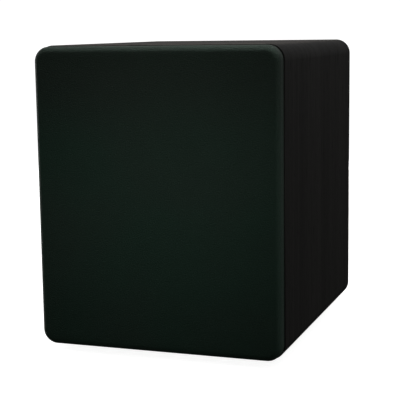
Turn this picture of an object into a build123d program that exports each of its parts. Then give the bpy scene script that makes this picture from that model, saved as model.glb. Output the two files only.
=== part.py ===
from build123d import *
import math
import os

os.makedirs("parts", exist_ok=True)

# All sizes are in millimetres. X runs across the front, Y runs from front to back and Z is up.
# The origin is under the middle of the whole object, on the surface that it stands on.

# Cabinet
cabinet_width = 336
cabinet_height = 400
cabinet_depth = 380
corner_radius = 21
wall = 18
inner_corner_radius = 6
arris = 1               # small round on the shell's front and rear outer edges
panel_gap = 0.3         # glue line round a panel that sits inside the shell
baffle_thickness = 24
rear_panel_thickness = 18
cleat = 16              # square batten behind each panel
brace_thickness = 15
brace_setback = 165     # from the shell's front edge to the brace
brace_rail = 30
lining_thickness = 6

# Feet
foot_height = 8
foot_radius = 19
foot_inset = 48         # from the shell's outside to the middle of a foot
foot_floor = 3          # rubber left under the screw's head
foot_edge_round = 2

# Grille
grille_depth = 20       # from the cabinet's front edge to the cloth's face
grille_gap = 2          # shadow gap between the cabinet and the grille
grille_inset = 1.4      # how far the grille's outline stands inside the cabinet's
grille_edge_round = 8.5
cloth_thickness = 1
grille_border = 27
grille_bar = 14
peg_radius = 4
peg_length = 12
peg_root_radius = 6
peg_root_length = 7
peg_boss_radius = 11
peg_inset = 15          # from the shell's inside to the middle of a peg
peg_clearance = 0.3
socket_wall = 1.6
socket_lip = 2
socket_lip_thickness = 1.2
socket_floor = 2

# Port
port_radius = 30        # inside of the port
port_wall = 2.5
flare_round = 11
port_length = 170
port_lap = 14           # how far the tube reaches over a flare's sleeve
sleeve_gap = 0.1

# Driver: depths count from the shell's front edge towards the back
driver_edge = 8         # wood left between the driver or the port and the shell, up and down
driver_side = 20        # wood left between the driver and the shell, left and right
driver_to_port = 6
rebate_depth = 12
rebate_gap = 0.5
gasket_thickness = 2
frame_thickness = 5
frame_flange = 13       # part of the frame that sits on wood
frame_inner_lip = 9     # part of the frame that reaches in past the wood
frame_wall = 5.5
basket_clearance = 1.5
trim_thickness = 3
surround_thickness = 1
surround_roll = 11
surround_landing = 6
cone_lip = 5
cone_thickness = 1.2
cone_neck_depth = 48
cap_radius = 36
cap_height = 14
cap_thickness = 1
former_radius = 25
former_thickness = 0.6
former_front = 44
coil_front = 79
coil_overhang = 5        # winding beyond the top plate at each end
coil_build = 1.5
coil_gap = 0.6
pole_gap = 0.5
spider_depth = 58
spider_waves = 7
spider_thickness = 0.8
spider_landing = 4
spider_collar = 2       # flat ring glued to the former
pot_radius = 64         # inside of the basket's rear pot
pot_wall = 4
pot_front = 54
pot_floor_front = 80
pot_floor_thickness = 4
pot_hole = 34
basket_spokes = 6
spoke_width = 20
top_plate_radius = 60
top_plate_thickness = 8
magnet_radius = 70
magnet_hole = 38
magnet_thickness = 22
back_plate_radius = 60
back_plate_thickness = 8
vent_radius = 8
driver_screw_count = 8
terminal_width = 24
terminal_thickness = 3
terminal_length = 20
tab_width = 4.8
tab_thickness = 0.8
tab_reach = 9
tab_spacing = 12
connector_thickness = 3
connector_grip = 7
glue_gap = 0.1

# Amplifier plate: places are (right, up) from the plate's middle, seen from behind
amp_width = 210
amp_height = 260
amp_corner_radius = 6
amp_thickness = 3
amp_gasket_thickness = 2
amp_overlap = 15        # plate that lies on the rear panel all round
amp_screw_inset = 7
panel_hole_gap = 0.3    # gap between a body and its hole in the plate
level_place = (-65, 90)
crossover_place = (-20, 90)
phase_place = (27, 90)
auto_place = (70, 90)
lamp_place = (48, 107)
line_input_places = [(-76, 50), (-54, 50), (-32, 50)]
speaker_input_place = (38, 50)
heat_sink_place = (0, -17)
mains_place = (-50, -91)
rocker_place = (45, -91)
toroid_place = (38, -18)
transistor_middle = (-55, -18)

# Screws: head radius, head height, shank radius
wood_screw = (4.5, 2.5, 2.2)
head_rounding = 0.6
plate_screw = (4, 2.2, 2)
foot_screw = (4, 2.5, 2.2)
driver_screw_length = 17
plate_screw_length = 16
foot_screw_length = 15
screw_gap = 0.1
cross_recess = 1.2      # width and depth of the driver slots in a screw's head

# Heat sink
sink_width = 170
sink_height = 80
sink_base = 4
fin_count = 17
fin_thickness = 2
fin_depth = 20

# Controls
pot_size = 17
pot_depth = 10
bushing_radius = 3.5
bushing_reach = 6       # bushing that stands out of the plate
nut_radius = 6
nut_thickness = 2.2
shaft_radius = 3
shaft_reach = 16
shaft_flat = 1.5        # depth of the flat on a shaft's end
running_gap = 0.05
knob_radius = 11
knob_height = 15
knob_lift = 1.2
knob_top = 3
knob_hub_radius = 5.2
knob_skirt = 1.8
knob_hollow = 8
knob_flutes = 20
flute_radius = 0.9
pointer_width = 1
pointer_middle = 6.6
pointer_length = 8.8
knob_hub_gap = 0.5       # between the hub and the bushing
switch_length = 26
switch_height = 11
switch_depth = 8
lever_stem = 4
lever_foot = 8
lever_foot_height = 6.4
lever_foot_thickness = 2.4
lever_reach = 3
lever_gap = 0.4
phase_travel = 5
auto_travel = 4
lamp_radius = 2.5
lamp_depth = 8
lamp_dome = 2.2
lamp_rim = 0.5          # collar behind the plate

# Line inputs
jack_radius = 4.15
jack_wall = 0.6
jack_reach = 9
jack_flange_radius = 6
jack_flange_thickness = 1.2
jack_depth = 12
jack_hole = 1.65

# Speaker-level inputs
clip_count = 4
clip_pitch = 18
clip_width = 12
clip_lever_thickness = 4
clip_reach = 5          # lever that stands out of the housing
clip_pivot_depth = 2    # pivot behind the plate's outer face
clip_height_place = 5   # pivot above the housing's middle
clip_angle = 14
housing_reach = 9
housing_height = 26
housing_depth = 9
clip_trunnion = 1.2
clip_trunnion_reach = 1.6
wire_hole_radius = 1.8
wire_hole_place = -8
clip_gap = 0.4

# Mains inlet and rocker switch
inlet_flange = (50, 36)
inlet_flange_thickness = 2.5
inlet_body = (30, 31)
inlet_depth = 21
socket_size = (24.6, 16.6)
socket_corner = 3
socket_depth = 17
socket_place = -6
pin_size = (2, 4)
pin_length = 14
pin_spacing = 7
pin_raise = 4
drawer_size = (25, 7.6)
drawer_place = 10
drawer_depth = 14
drawer_gap = 0.3
drawer_pull = 1.5
fuse_radius = 2.6
fuse_length = 20
rocker_width = 17
rocker_half = 13
rocker_back_half = 8
rocker_face = 4
rocker_tilt = 10
rocker_pivot_depth = 3
rocker_trunnion = 1.5
rocker_trunnion_reach = 1.4
rocker_gap = 0.4
rocker_wall = 2.1
rocker_depth = 15
rocker_flange = 2

# Inside the amplifier
board_size = (170, 84)
board_place = (0, 72)
board_thickness = 1.6
board_standoff = 30
standoff_radius = 3
standoff_inset = 5
capacitor_radius = 12.5
capacitor_length = 45
capacitor_places = [(-50, 75), (-20, 75)]
transistor_size = (15, 20, 5)
transistor_spacing = (24, 28)
toroid_radius = 42
toroid_hole = 14
toroid_length = 38
toroid_round = 9
pad_thickness = 2
clamp_radius = 27
clamp_thickness = 2.5
bolt_radius = 4
bolt_head_radius = 7
bolt_head_height = 5
lead_radius = 1.5
lead_sag = 16
lead_straight = 28
lead_arc_share = 0.45   # of the shorter run beside a corner

# Sizes that follow from the ones above
inner_width = cabinet_width - 2 * wall
inner_height = cabinet_height - 2 * wall
cabinet_middle = foot_height + cabinet_height / 2
inner_top = cabinet_middle + inner_height / 2
inner_bottom = cabinet_middle - inner_height / 2
rear_reach = amp_gasket_thickness + amp_thickness + max(sink_base + fin_depth, knob_lift + knob_height)
overall_depth = grille_depth + cabinet_depth + rear_reach
front_y = grille_depth - overall_depth / 2
rear_y = front_y + cabinet_depth
plate_inner_y = rear_y + amp_gasket_thickness
plate_outer_y = plate_inner_y + amp_thickness

sleeve_radius = port_radius + port_wall
tube_inside = sleeve_radius + sleeve_gap
tube_outside = tube_inside + port_wall
flare_radius = port_radius + flare_round
port_z = inner_bottom + driver_edge + flare_radius
port_rear = 2 * flare_round + port_length

room_across = inner_width / 2 - driver_side
room_up = (inner_height - 2 * driver_edge - driver_to_port) / 2 - flare_radius
driver_radius = min(room_across, room_up)
driver_z = inner_top - driver_edge - driver_radius
cutout_radius = driver_radius - frame_flange
screw_circle = driver_radius - frame_flange / 2
frame_back = rebate_depth - gasket_thickness
frame_front = frame_back - frame_thickness
roll_radius_outside = surround_roll + surround_thickness / 2
roll_radius_inside = surround_roll - surround_thickness / 2
landing_outside = cutout_radius - 1
roll_middle = landing_outside - surround_landing - surround_roll
cone_radius = roll_middle - surround_roll
former_outside = former_radius + former_thickness
coil_outside = former_outside + glue_gap + coil_build
pot_outside = pot_radius + pot_wall
magnet_front = pot_floor_front + pot_floor_thickness + top_plate_thickness
magnet_back = magnet_front + magnet_thickness
driver_depth = magnet_back + back_plate_thickness

peg_places = [(across * (inner_width / 2 - peg_inset), up * (inner_height / 2 - peg_inset))
              for across in (-1, 1) for up in (-1, 1)]
socket_radius = peg_radius + peg_clearance + socket_wall
socket_length = peg_length - grille_gap + socket_floor + 1
foot_places = [(across * (cabinet_width / 2 - foot_inset), front_y + along)
               for across in (-1, 1) for along in (foot_inset, cabinet_depth - foot_inset)]
amp_screw_across = amp_width / 2 - amp_screw_inset
amp_screw_up = amp_height / 2 - amp_screw_inset
amp_screw_places = ([(side * amp_screw_across, step * amp_screw_up)
                     for side in (-1, 1) for step in (-1, -1 / 3, 1 / 3, 1)]
                    + [(0, -amp_screw_up), (0, amp_screw_up)])
housing_width = clip_count * clip_pitch + 2
clip_slot = clip_width + 2 * clip_gap
clip_places = [(index - (clip_count - 1) / 2) * clip_pitch for index in range(clip_count)]
rocker_slot_half = math.hypot(rocker_half, rocker_face + rocker_half * math.tan(math.radians(rocker_tilt)))
rocker_slot_half += rocker_gap
rocker_body = (rocker_width + 2 * (rocker_gap + rocker_wall), 2 * (rocker_slot_half + rocker_wall))


def facing_front(y, z):
    """A plane across the object whose outside is the front: x is right and y is up, seen from the front."""
    return Plane(origin=(0, y, z), x_dir=(1, 0, 0), z_dir=(0, -1, 0))


def facing_rear(y, place=(0, 0)):
    """A plane over the amplifier plate's middle, or over a place on it, whose outside is the rear."""
    return Plane(origin=(-place[0], y, cabinet_middle + place[1]), x_dir=(-1, 0, 0), z_dir=(0, 1, 0))


def from_side(y, place):
    """A plane that cuts a control from front to back: x is towards the rear and y is up."""
    return Plane(origin=(-place[0], y, cabinet_middle + place[1]), x_dir=(0, 1, 0), z_dir=(1, 0, 0))


def half_section(z):
    """A plane that cuts a turned piece: x is the radius and y is the depth behind the shell's front edge."""
    return Plane(origin=(0, front_y, z), x_dir=(1, 0, 0), z_dir=(0, 0, 1))


def band(inside, outside, near, far, mode=Mode.ADD):
    """A rectangle in a turned piece's section, from one radius to another and one depth to another."""
    with Locations(((inside + outside) / 2, (near + far) / 2)):
        Rectangle(outside - inside, far - near, mode=mode)


def turned_ring(z, inside, outside, near, far):
    """A plain ring about the driver's or the port's axis."""
    with BuildPart() as ring:
        with BuildSketch(half_section(z)):
            band(inside, outside, near, far)
        revolve(axis=Axis((0, 0, z), (0, 1, 0)))
    return ring


def screw_set(plane, places, screw, length):
    """Pan-head screws with crossed slots, their heads standing on the plane and shanks behind it."""
    head_radius, head_height, shank_radius = screw
    with BuildPart() as screws:
        with BuildSketch(plane):
            with Locations(*places):
                Circle(head_radius)
        extrude(amount=head_height)
        fillet(screws.faces().filter_by(plane).group_by(Axis(plane.origin, plane.z_dir))[-1].edges(),
               head_rounding * head_height)
        with BuildSketch(plane):
            with Locations(*places):
                Circle(shank_radius)
        extrude(amount=-length)
        with BuildSketch(plane.offset(head_height)):
            with Locations(*places):
                Rectangle(head_radius, cross_recess)
                Rectangle(cross_recess, head_radius)
        extrude(amount=-cross_recess, mode=Mode.SUBTRACT)
    return screws


def punch(plane, places, radius, depth):
    """Round holes that run from the plane the other way from its outside."""
    with BuildSketch(plane) as holes:
        with Locations(*places):
            Circle(radius)
    extrude(holes.sketch, amount=-depth, mode=Mode.SUBTRACT)


driver_axis = Axis((0, 0, driver_z), (0, 1, 0))
port_axis = Axis((0, 0, port_z), (0, 1, 0))
pieces = []

# Cabinet: a wrapped board shell with rounded long edges, open at the front and the rear.
with BuildPart() as cabinet_shell:
    with BuildSketch(facing_front(front_y, cabinet_middle)):
        RectangleRounded(cabinet_width, cabinet_height, corner_radius)
        RectangleRounded(inner_width, inner_height, inner_corner_radius, mode=Mode.SUBTRACT)
    extrude(amount=-cabinet_depth)
    for end in (0, -1):
        fillet(cabinet_shell.faces().filter_by(Axis.Y).sort_by(Axis.Y)[end].outer_wire().edges(), arris)
    with BuildSketch(Plane.XY.offset(foot_height)):
        with Locations(*foot_places):
            Circle(foot_screw[2] + screw_gap)
    extrude(amount=foot_screw_length, mode=Mode.SUBTRACT)
cabinet_shell.part.label = "cabinet_shell"
pieces.append(cabinet_shell)

# Front baffle: carries the driver in a rebate, the port below it and the grille's sockets.
with BuildPart() as front_baffle:
    with BuildSketch(facing_front(front_y, cabinet_middle)):
        RectangleRounded(inner_width - 2 * panel_gap, inner_height - 2 * panel_gap,
                         inner_corner_radius - panel_gap)
    extrude(amount=-baffle_thickness)
    baffle_driver = facing_front(front_y, driver_z)
    baffle_port = facing_front(front_y, port_z)
    baffle_middle = facing_front(front_y, cabinet_middle)
    punch(baffle_driver, [(0, 0)], driver_radius + rebate_gap, rebate_depth)
    punch(baffle_driver, [(0, 0)], cutout_radius, baffle_thickness)
    punch(baffle_port, [(0, 0)], flare_radius + panel_gap, flare_round + panel_gap)
    punch(baffle_port, [(0, 0)], tube_outside + panel_gap, baffle_thickness)
    punch(baffle_middle, peg_places, socket_radius + glue_gap, socket_length)
    punch(baffle_middle, peg_places, socket_radius + socket_lip + glue_gap, socket_lip_thickness)
    with BuildSketch(baffle_driver):
        with PolarLocations(screw_circle, driver_screw_count, start_angle=180 / driver_screw_count):
            Circle(wood_screw[2] + screw_gap)
    extrude(amount=-(frame_front + driver_screw_length), mode=Mode.SUBTRACT)
front_baffle.part.label = "front_baffle"
pieces.append(front_baffle)

# Rear panel: closes the shell and carries the amplifier plate over its cut-out.
with BuildPart() as rear_panel:
    with BuildSketch(facing_rear(rear_y)):
        RectangleRounded(inner_width - 2 * panel_gap, inner_height - 2 * panel_gap,
                         inner_corner_radius - panel_gap)
        RectangleRounded(amp_width - 2 * amp_overlap, amp_height - 2 * amp_overlap,
                         amp_corner_radius, mode=Mode.SUBTRACT)
    extrude(amount=-rear_panel_thickness)
    punch(facing_rear(rear_y), amp_screw_places, plate_screw[2] + screw_gap,
          plate_screw_length - amp_thickness - amp_gasket_thickness)
rear_panel.part.label = "rear_panel"
pieces.append(rear_panel)

# Brace: a window frame across the middle that also holds the port tube.
port_rail_top = port_z + flare_radius
window_bottom = port_rail_top + driver_to_port
window_top = inner_top - brace_rail
with BuildPart() as window_brace:
    with BuildSketch(facing_front(front_y + brace_setback, cabinet_middle)):
        RectangleRounded(inner_width - 2 * panel_gap, inner_height - 2 * panel_gap,
                         inner_corner_radius - panel_gap)
        with Locations((0, (window_top + window_bottom) / 2 - cabinet_middle)):
            RectangleRounded(inner_width - 2 * brace_rail, window_top - window_bottom,
                             brace_rail / 2, mode=Mode.SUBTRACT)
        with Locations((0, port_z - cabinet_middle)):
            Circle(tube_outside + panel_gap, mode=Mode.SUBTRACT)
    extrude(amount=-brace_thickness)
window_brace.part.label = "window_brace"
pieces.append(window_brace)


# Cleats: square battens glued round the shell behind the baffle and the rear panel.
rear_cleat_y = rear_y - rear_panel_thickness - cleat
with BuildPart() as panel_cleats:
    for y in (front_y + baffle_thickness, rear_cleat_y):
        with BuildSketch(facing_front(y, cabinet_middle)):
            with GridLocations(inner_width - cleat, 0, 2, 1):
                Rectangle(cleat, inner_height - 2 * inner_corner_radius)
            with GridLocations(0, inner_height - cleat, 1, 2):
                Rectangle(inner_width - 2 * cleat - 2 * panel_gap, cleat)
        extrude(amount=-cleat)
    punch(baffle_port, [(0, 0)], tube_outside + panel_gap, baffle_thickness + cleat)
panel_cleats.part.label = "panel_cleats"
pieces.append(panel_cleats)

# Damping: a felt lining on the four walls between the brace and the rear battens.
lining_front = front_y + brace_setback + brace_thickness
with BuildPart() as damping_lining:
    with BuildSketch(facing_front(lining_front, cabinet_middle)):
        RectangleRounded(inner_width - 2 * panel_gap, inner_height - 2 * panel_gap,
                         inner_corner_radius - panel_gap)
        RectangleRounded(inner_width - 2 * lining_thickness, inner_height - 2 * lining_thickness,
                         inner_corner_radius, mode=Mode.SUBTRACT)
    extrude(amount=-(rear_cleat_y - lining_front))
damping_lining.part.label = "damping_lining"
pieces.append(damping_lining)

# Feet: rubber discs, each with a well for its screw's head.
with BuildPart() as rubber_feet:
    with BuildSketch():
        with Locations(*foot_places):
            Circle(foot_radius)
    extrude(amount=foot_height)
    fillet(rubber_feet.faces().filter_by(Plane.XY).group_by(Axis.Z)[0].edges(), foot_edge_round)
    with BuildSketch():
        with Locations(*foot_places):
            Circle(foot_screw[0] + 1)
    extrude(amount=foot_height - foot_floor, mode=Mode.SUBTRACT)
    with BuildSketch():
        with Locations(*foot_places):
            Circle(foot_screw[2] + screw_gap)
    extrude(amount=foot_height, mode=Mode.SUBTRACT)
rubber_feet.part.label = "rubber_feet"
pieces.append(rubber_feet)

foot_screw_plane = Plane(origin=(0, 0, foot_height - foot_floor), x_dir=(1, 0, 0), z_dir=(0, 0, -1))
foot_screws = screw_set(foot_screw_plane, [(x, -y) for x, y in foot_places], foot_screw,
                        foot_floor + foot_screw_length)
foot_screws.part.label = "foot_screws"
pieces.append(foot_screws)

# Grille sockets: plastic cups let into the baffle for the grille's pegs.
with BuildPart() as grille_sockets:
    with BuildSketch(baffle_middle):
        with Locations(*peg_places):
            Circle(socket_radius + socket_lip)
    extrude(amount=-socket_lip_thickness)
    with BuildSketch(baffle_middle):
        with Locations(*peg_places):
            Circle(socket_radius)
    extrude(amount=-socket_length)
    punch(baffle_middle, peg_places, peg_radius + peg_clearance, socket_length - socket_floor)
grille_sockets.part.label = "grille_sockets"
pieces.append(grille_sockets)

# Grille frame: a board ring with a bar between the driver and the port, its front edge rounded.
grille_width = cabinet_width - 2 * grille_inset
grille_height = cabinet_height - 2 * grille_inset
grille_corner = corner_radius - grille_inset
grille_back = facing_front(front_y - grille_gap, cabinet_middle)
frame_depth = grille_depth - grille_gap - cloth_thickness
frame_width = grille_width - 2 * cloth_thickness
frame_height = grille_height - 2 * cloth_thickness
bar_height = (driver_z - driver_radius + port_z + flare_radius) / 2 - cabinet_middle
window_half = frame_height / 2 - grille_border


def grille_block(width, height, corner, depth, edge_round):
    """A rounded board that stands out from the grille's back, with its front edge rounded."""
    with BuildPart() as block:
        with BuildSketch(grille_back):
            RectangleRounded(width, height, corner)
        extrude(amount=depth)
        fillet(block.faces().sort_by(Axis.Y)[0].edges(), edge_round)
    return block


frame_block = grille_block(frame_width, frame_height, grille_corner - cloth_thickness, frame_depth,
                           grille_edge_round - cloth_thickness)
cloth_block = grille_block(grille_width, grille_height, grille_corner, grille_depth - grille_gap,
                           grille_edge_round)

with BuildPart() as grille_frame:
    add(frame_block.part)
    with BuildSketch(grille_back):
        for low, high in ((-window_half, bar_height - grille_bar / 2),
                          (bar_height + grille_bar / 2, window_half)):
            with Locations((0, (low + high) / 2)):
                RectangleRounded(frame_width - 2 * grille_border, high - low, grille_bar)
    extrude(amount=frame_depth, mode=Mode.SUBTRACT)
    with BuildSketch(grille_back):
        with Locations(*peg_places):
            Circle(peg_boss_radius)
    extrude(amount=frame_depth - grille_edge_round + cloth_thickness)
    with BuildSketch(grille_back):
        with Locations(*peg_places):
            Circle(peg_root_radius + glue_gap)
    extrude(amount=peg_root_length, mode=Mode.SUBTRACT)
grille_frame.part.label = "grille_frame"
pieces.append(grille_frame)

# Grille cloth: stretched over the frame's face and edges.
with BuildPart() as grille_cloth:
    add(cloth_block.part)
    add(frame_block.part, mode=Mode.SUBTRACT)
grille_cloth.part.label = "grille_cloth"
pieces.append(grille_cloth)

# Grille pegs: plugs glued into the frame's back, with round-nosed pins.
with BuildPart() as grille_pegs:
    with BuildSketch(grille_back):
        with Locations(*peg_places):
            Circle(peg_root_radius)
    extrude(amount=peg_root_length)
    with BuildSketch(grille_back):
        with Locations(*peg_places):
            Circle(peg_radius)
    extrude(amount=-peg_length)
    fillet(grille_pegs.faces().filter_by(Plane.XZ).group_by(Axis.Y)[-1].edges(), peg_radius / 2)
grille_pegs.part.label = "grille_pegs"
pieces.append(grille_pegs)

# Port: a trumpet flare at each end, with a sleeve that the tube laps over.
with BuildPart() as port_flares:
    for mouth, inward in ((0, 1), (port_rear, -1)):
        neck = mouth + inward * flare_round
        with BuildSketch(half_section(port_z)):
            with BuildLine():
                RadiusArc((port_radius, neck), (flare_radius, mouth), inward * flare_round)
                Line((flare_radius, mouth), (flare_radius, mouth + inward * port_wall))
                RadiusArc((flare_radius, mouth + inward * port_wall), (sleeve_radius, neck),
                          -inward * (flare_round - port_wall))
                Polyline((sleeve_radius, neck), (sleeve_radius, neck + inward * port_lap),
                         (port_radius, neck + inward * port_lap), (port_radius, neck))
            make_face()
        revolve(axis=port_axis)
port_flares.part.label = "port_flares"
pieces.append(port_flares)

port_tube = turned_ring(port_z, tube_inside, tube_outside, flare_round + panel_gap,
                        port_rear - flare_round - panel_gap)
port_tube.part.label = "port_tube"
pieces.append(port_tube)

# Driver basket: flange, tapering wall with open windows, shelf for the spider and a rear pot.
shelf_front = spider_depth + spider_thickness / 2
with BuildPart() as driver_basket:
    with BuildSketch(half_section(driver_z)):
        band(cutout_radius - frame_inner_lip, driver_radius, frame_front, frame_back)
        with BuildLine():
            Polyline((cutout_radius - basket_clearance - frame_wall, frame_back),
                     (cutout_radius - basket_clearance, frame_back), (pot_outside, pot_front),
                     (pot_radius, pot_front), close=True)
        make_face()
        band(pot_radius, pot_outside, pot_front, pot_floor_front + pot_floor_thickness)
        band(pot_radius - spider_landing + spider_thickness, pot_radius, shelf_front, shelf_front + 2)
        band(pot_hole, pot_outside, pot_floor_front, pot_floor_front + pot_floor_thickness)
    revolve(axis=driver_axis)
    window_near = frame_back + pot_wall
    with BuildSketch(facing_front(front_y + window_near, driver_z)):
        Circle(driver_radius)
        Circle(pot_outside + 1, mode=Mode.SUBTRACT)
        with PolarLocations(0, basket_spokes, start_angle=90):
            with Locations((driver_radius, 0)):
                Rectangle(2 * driver_radius, spoke_width, mode=Mode.SUBTRACT)
    extrude(amount=-(pot_front - pot_wall - window_near), mode=Mode.SUBTRACT)
    with BuildSketch(facing_front(front_y, driver_z)):
        with PolarLocations(screw_circle, driver_screw_count, start_angle=180 / driver_screw_count):
            Circle(wood_screw[2] + screw_gap)
    extrude(amount=-frame_back, mode=Mode.SUBTRACT)
driver_basket.part.label = "driver_basket"
pieces.append(driver_basket)

# Gaskets: foam under the driver's flange and under the amplifier plate.
with BuildPart() as sealing_gaskets:
    with BuildSketch(facing_front(front_y + frame_back, driver_z)):
        Circle(driver_radius)
        Circle(cutout_radius, mode=Mode.SUBTRACT)
        with PolarLocations(screw_circle, driver_screw_count, start_angle=180 / driver_screw_count):
            Circle(wood_screw[2] + screw_gap, mode=Mode.SUBTRACT)
    extrude(amount=-gasket_thickness)
    with BuildSketch(facing_rear(rear_y)):
        RectangleRounded(amp_width, amp_height, amp_corner_radius)
        RectangleRounded(amp_width - 2 * amp_overlap, amp_height - 2 * amp_overlap,
                         amp_corner_radius, mode=Mode.SUBTRACT)
        with Locations(*amp_screw_places):
            Circle(plate_screw[2] + screw_gap, mode=Mode.SUBTRACT)
    extrude(amount=amp_gasket_thickness)
sealing_gaskets.part.label = "sealing_gaskets"
pieces.append(sealing_gaskets)

screw_angles = [math.radians(360 * (index + 0.5) / driver_screw_count) for index in range(driver_screw_count)]
driver_screws = screw_set(facing_front(front_y + frame_front, driver_z),
                          [(screw_circle * math.cos(angle), screw_circle * math.sin(angle))
                           for angle in screw_angles], wood_screw, driver_screw_length)
driver_screws.part.label = "driver_screws"
pieces.append(driver_screws)

# Surround: a half roll between the frame and the cone's lip, under a rubber trim ring.
surround_back = frame_front
surround_front = frame_front - surround_thickness
with BuildPart() as surround:
    with BuildSketch(half_section(driver_z)):
        with Locations((roll_middle, surround_back)):
            Circle(roll_radius_outside)
            Circle(roll_radius_inside, mode=Mode.SUBTRACT)
        band(roll_middle - 2 * surround_roll, roll_middle + 2 * surround_roll, surround_back,
             surround_back + 2 * surround_roll, mode=Mode.SUBTRACT)
        band(roll_middle + roll_radius_inside, landing_outside, surround_front, surround_back)
        band(cone_radius - cone_lip, roll_middle - roll_radius_inside, surround_front, surround_back)
    revolve(axis=driver_axis)
surround.part.label = "surround"
pieces.append(surround)

with BuildPart() as trim_ring:
    with BuildSketch(half_section(driver_z)):
        band(roll_middle + roll_radius_outside + panel_gap, landing_outside + 1,
             surround_front - trim_thickness, surround_front)
    revolve(axis=driver_axis)
    fillet(trim_ring.faces().sort_by(Axis.Y)[0].edges(), surround_thickness)
trim_ring.part.label = "trim_ring"
pieces.append(trim_ring)

# Cone and dust cap: they move together with the voice coil.
cone_front = surround_back
lip_inside = cone_radius - cone_lip
neck_radius = former_outside + glue_gap
cone_slope = (cone_neck_depth - cone_front) / (lip_inside - neck_radius)
cone_step = cone_thickness * math.hypot(1, cone_slope)
with BuildPart() as driver_cone:
    with BuildSketch(half_section(driver_z)):
        with BuildLine():
            Polyline((neck_radius, cone_neck_depth), (lip_inside, cone_front), (cone_radius, cone_front),
                     (cone_radius, cone_front + cone_thickness), (lip_inside, cone_front + cone_step),
                     (neck_radius, cone_neck_depth + cone_step), close=True)
        make_face()
    revolve(axis=driver_axis)
driver_cone.part.label = "driver_cone"
pieces.append(driver_cone)

cap_rim = cone_neck_depth - cone_slope * (cap_radius - neck_radius) - glue_gap
cap_sphere = (cap_radius ** 2 + cap_height ** 2) / (2 * cap_height)
with BuildPart() as dust_cap:
    with BuildSketch(half_section(driver_z)):
        with Locations((0, cap_rim - cap_height + cap_sphere)):
            Circle(cap_sphere)
            Circle(cap_sphere - cap_thickness, mode=Mode.SUBTRACT)
        band(0, cap_radius, cap_rim - cap_height - cap_thickness, cap_rim, mode=Mode.INTERSECT)
    revolve(axis=driver_axis)
dust_cap.part.label = "dust_cap"
pieces.append(dust_cap)

# Voice coil: a winding glued round the rear end of its former.
coil_rear = coil_front + top_plate_thickness + 2 * coil_overhang
with BuildPart() as voice_coil:
    with BuildSketch(half_section(driver_z)):
        band(former_radius, former_outside, former_front, coil_rear)
        band(former_outside + glue_gap, coil_outside, coil_front, coil_rear)
    revolve(axis=driver_axis)
voice_coil.part.label = "voice_coil"
pieces.append(voice_coil)

# Spider: a disc of concentric waves that centres the coil on the basket's shelf.
spider_inside = former_outside + glue_gap
spider_outside = pot_radius - spider_landing
wave = (spider_outside - spider_inside - spider_collar) / spider_waves
with BuildPart() as spider:
    with BuildSketch(half_section(driver_z)):
        band(spider_inside, spider_inside + spider_collar + spider_thickness / 2, spider_depth - spider_thickness / 2,
             spider_depth + spider_thickness / 2)
        for index in range(spider_waves):
            side = 1 if index % 2 else -1
            middle = (spider_inside + spider_collar + (index + 0.5) * wave, spider_depth)
            with BuildSketch(mode=Mode.PRIVATE) as half_wave:
                with Locations(middle):
                    Circle((wave + spider_thickness) / 2)
                    Circle((wave - spider_thickness) / 2, mode=Mode.SUBTRACT)
                with Locations((middle[0], middle[1] + side * wave)):
                    Rectangle(2 * wave, 2 * wave, mode=Mode.SUBTRACT)
            add(half_wave.sketch)
        band(spider_outside - spider_thickness / 2, pot_radius - glue_gap,
             spider_depth - spider_thickness / 2, spider_depth + spider_thickness / 2)
    revolve(axis=driver_axis)
spider.part.label = "spider"
pieces.append(spider)

# Motor: top plate, ring magnet and a back plate with its vented pole.
top_plate = turned_ring(driver_z, coil_outside + coil_gap, top_plate_radius,
                        magnet_front - top_plate_thickness, magnet_front)
top_plate.part.label = "top_plate"
pieces.append(top_plate)

ring_magnet = turned_ring(driver_z, magnet_hole, magnet_radius, magnet_front, magnet_back)
ring_magnet.part.label = "ring_magnet"
pieces.append(ring_magnet)

with BuildPart() as pole_plate:
    with BuildSketch(half_section(driver_z)):
        band(vent_radius, back_plate_radius, magnet_back, driver_depth)
        band(vent_radius, former_radius - pole_gap, magnet_front - top_plate_thickness, magnet_back)
    revolve(axis=driver_axis)
    chamfer(pole_plate.faces().sort_by(Axis.Y)[-1].outer_wire().edges(), back_plate_thickness / 4)
pole_plate.part.label = "pole_plate"
pieces.append(pole_plate)

# Driver terminals: a board on the pot's left side with two tabs towards the rear.
terminal_x = -(pot_outside + terminal_thickness)
terminal_near = front_y + pot_front + pot_wall
tab_x = terminal_x - tab_thickness / 2
tab_places = [(tab_x, -tab_spacing / 2), (tab_x, tab_spacing / 2)]
tab_end = terminal_near + terminal_length + tab_reach
with BuildPart() as driver_terminals:
    with BuildSketch(facing_front(terminal_near, driver_z)):
        with Locations((terminal_x + terminal_thickness / 2, 0)):
            Rectangle(terminal_thickness, terminal_width)
    extrude(amount=-terminal_length)
    with BuildSketch(facing_front(terminal_near + terminal_length / 2, driver_z)):
        with Locations(*tab_places):
            Rectangle(tab_thickness, tab_width)
    extrude(amount=-(terminal_length / 2 + tab_reach))
    punch(facing_front(terminal_near, driver_z), [(0, 0)], pot_outside + glue_gap, terminal_length)
driver_terminals.part.label = "driver_terminals"
pieces.append(driver_terminals)

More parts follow.
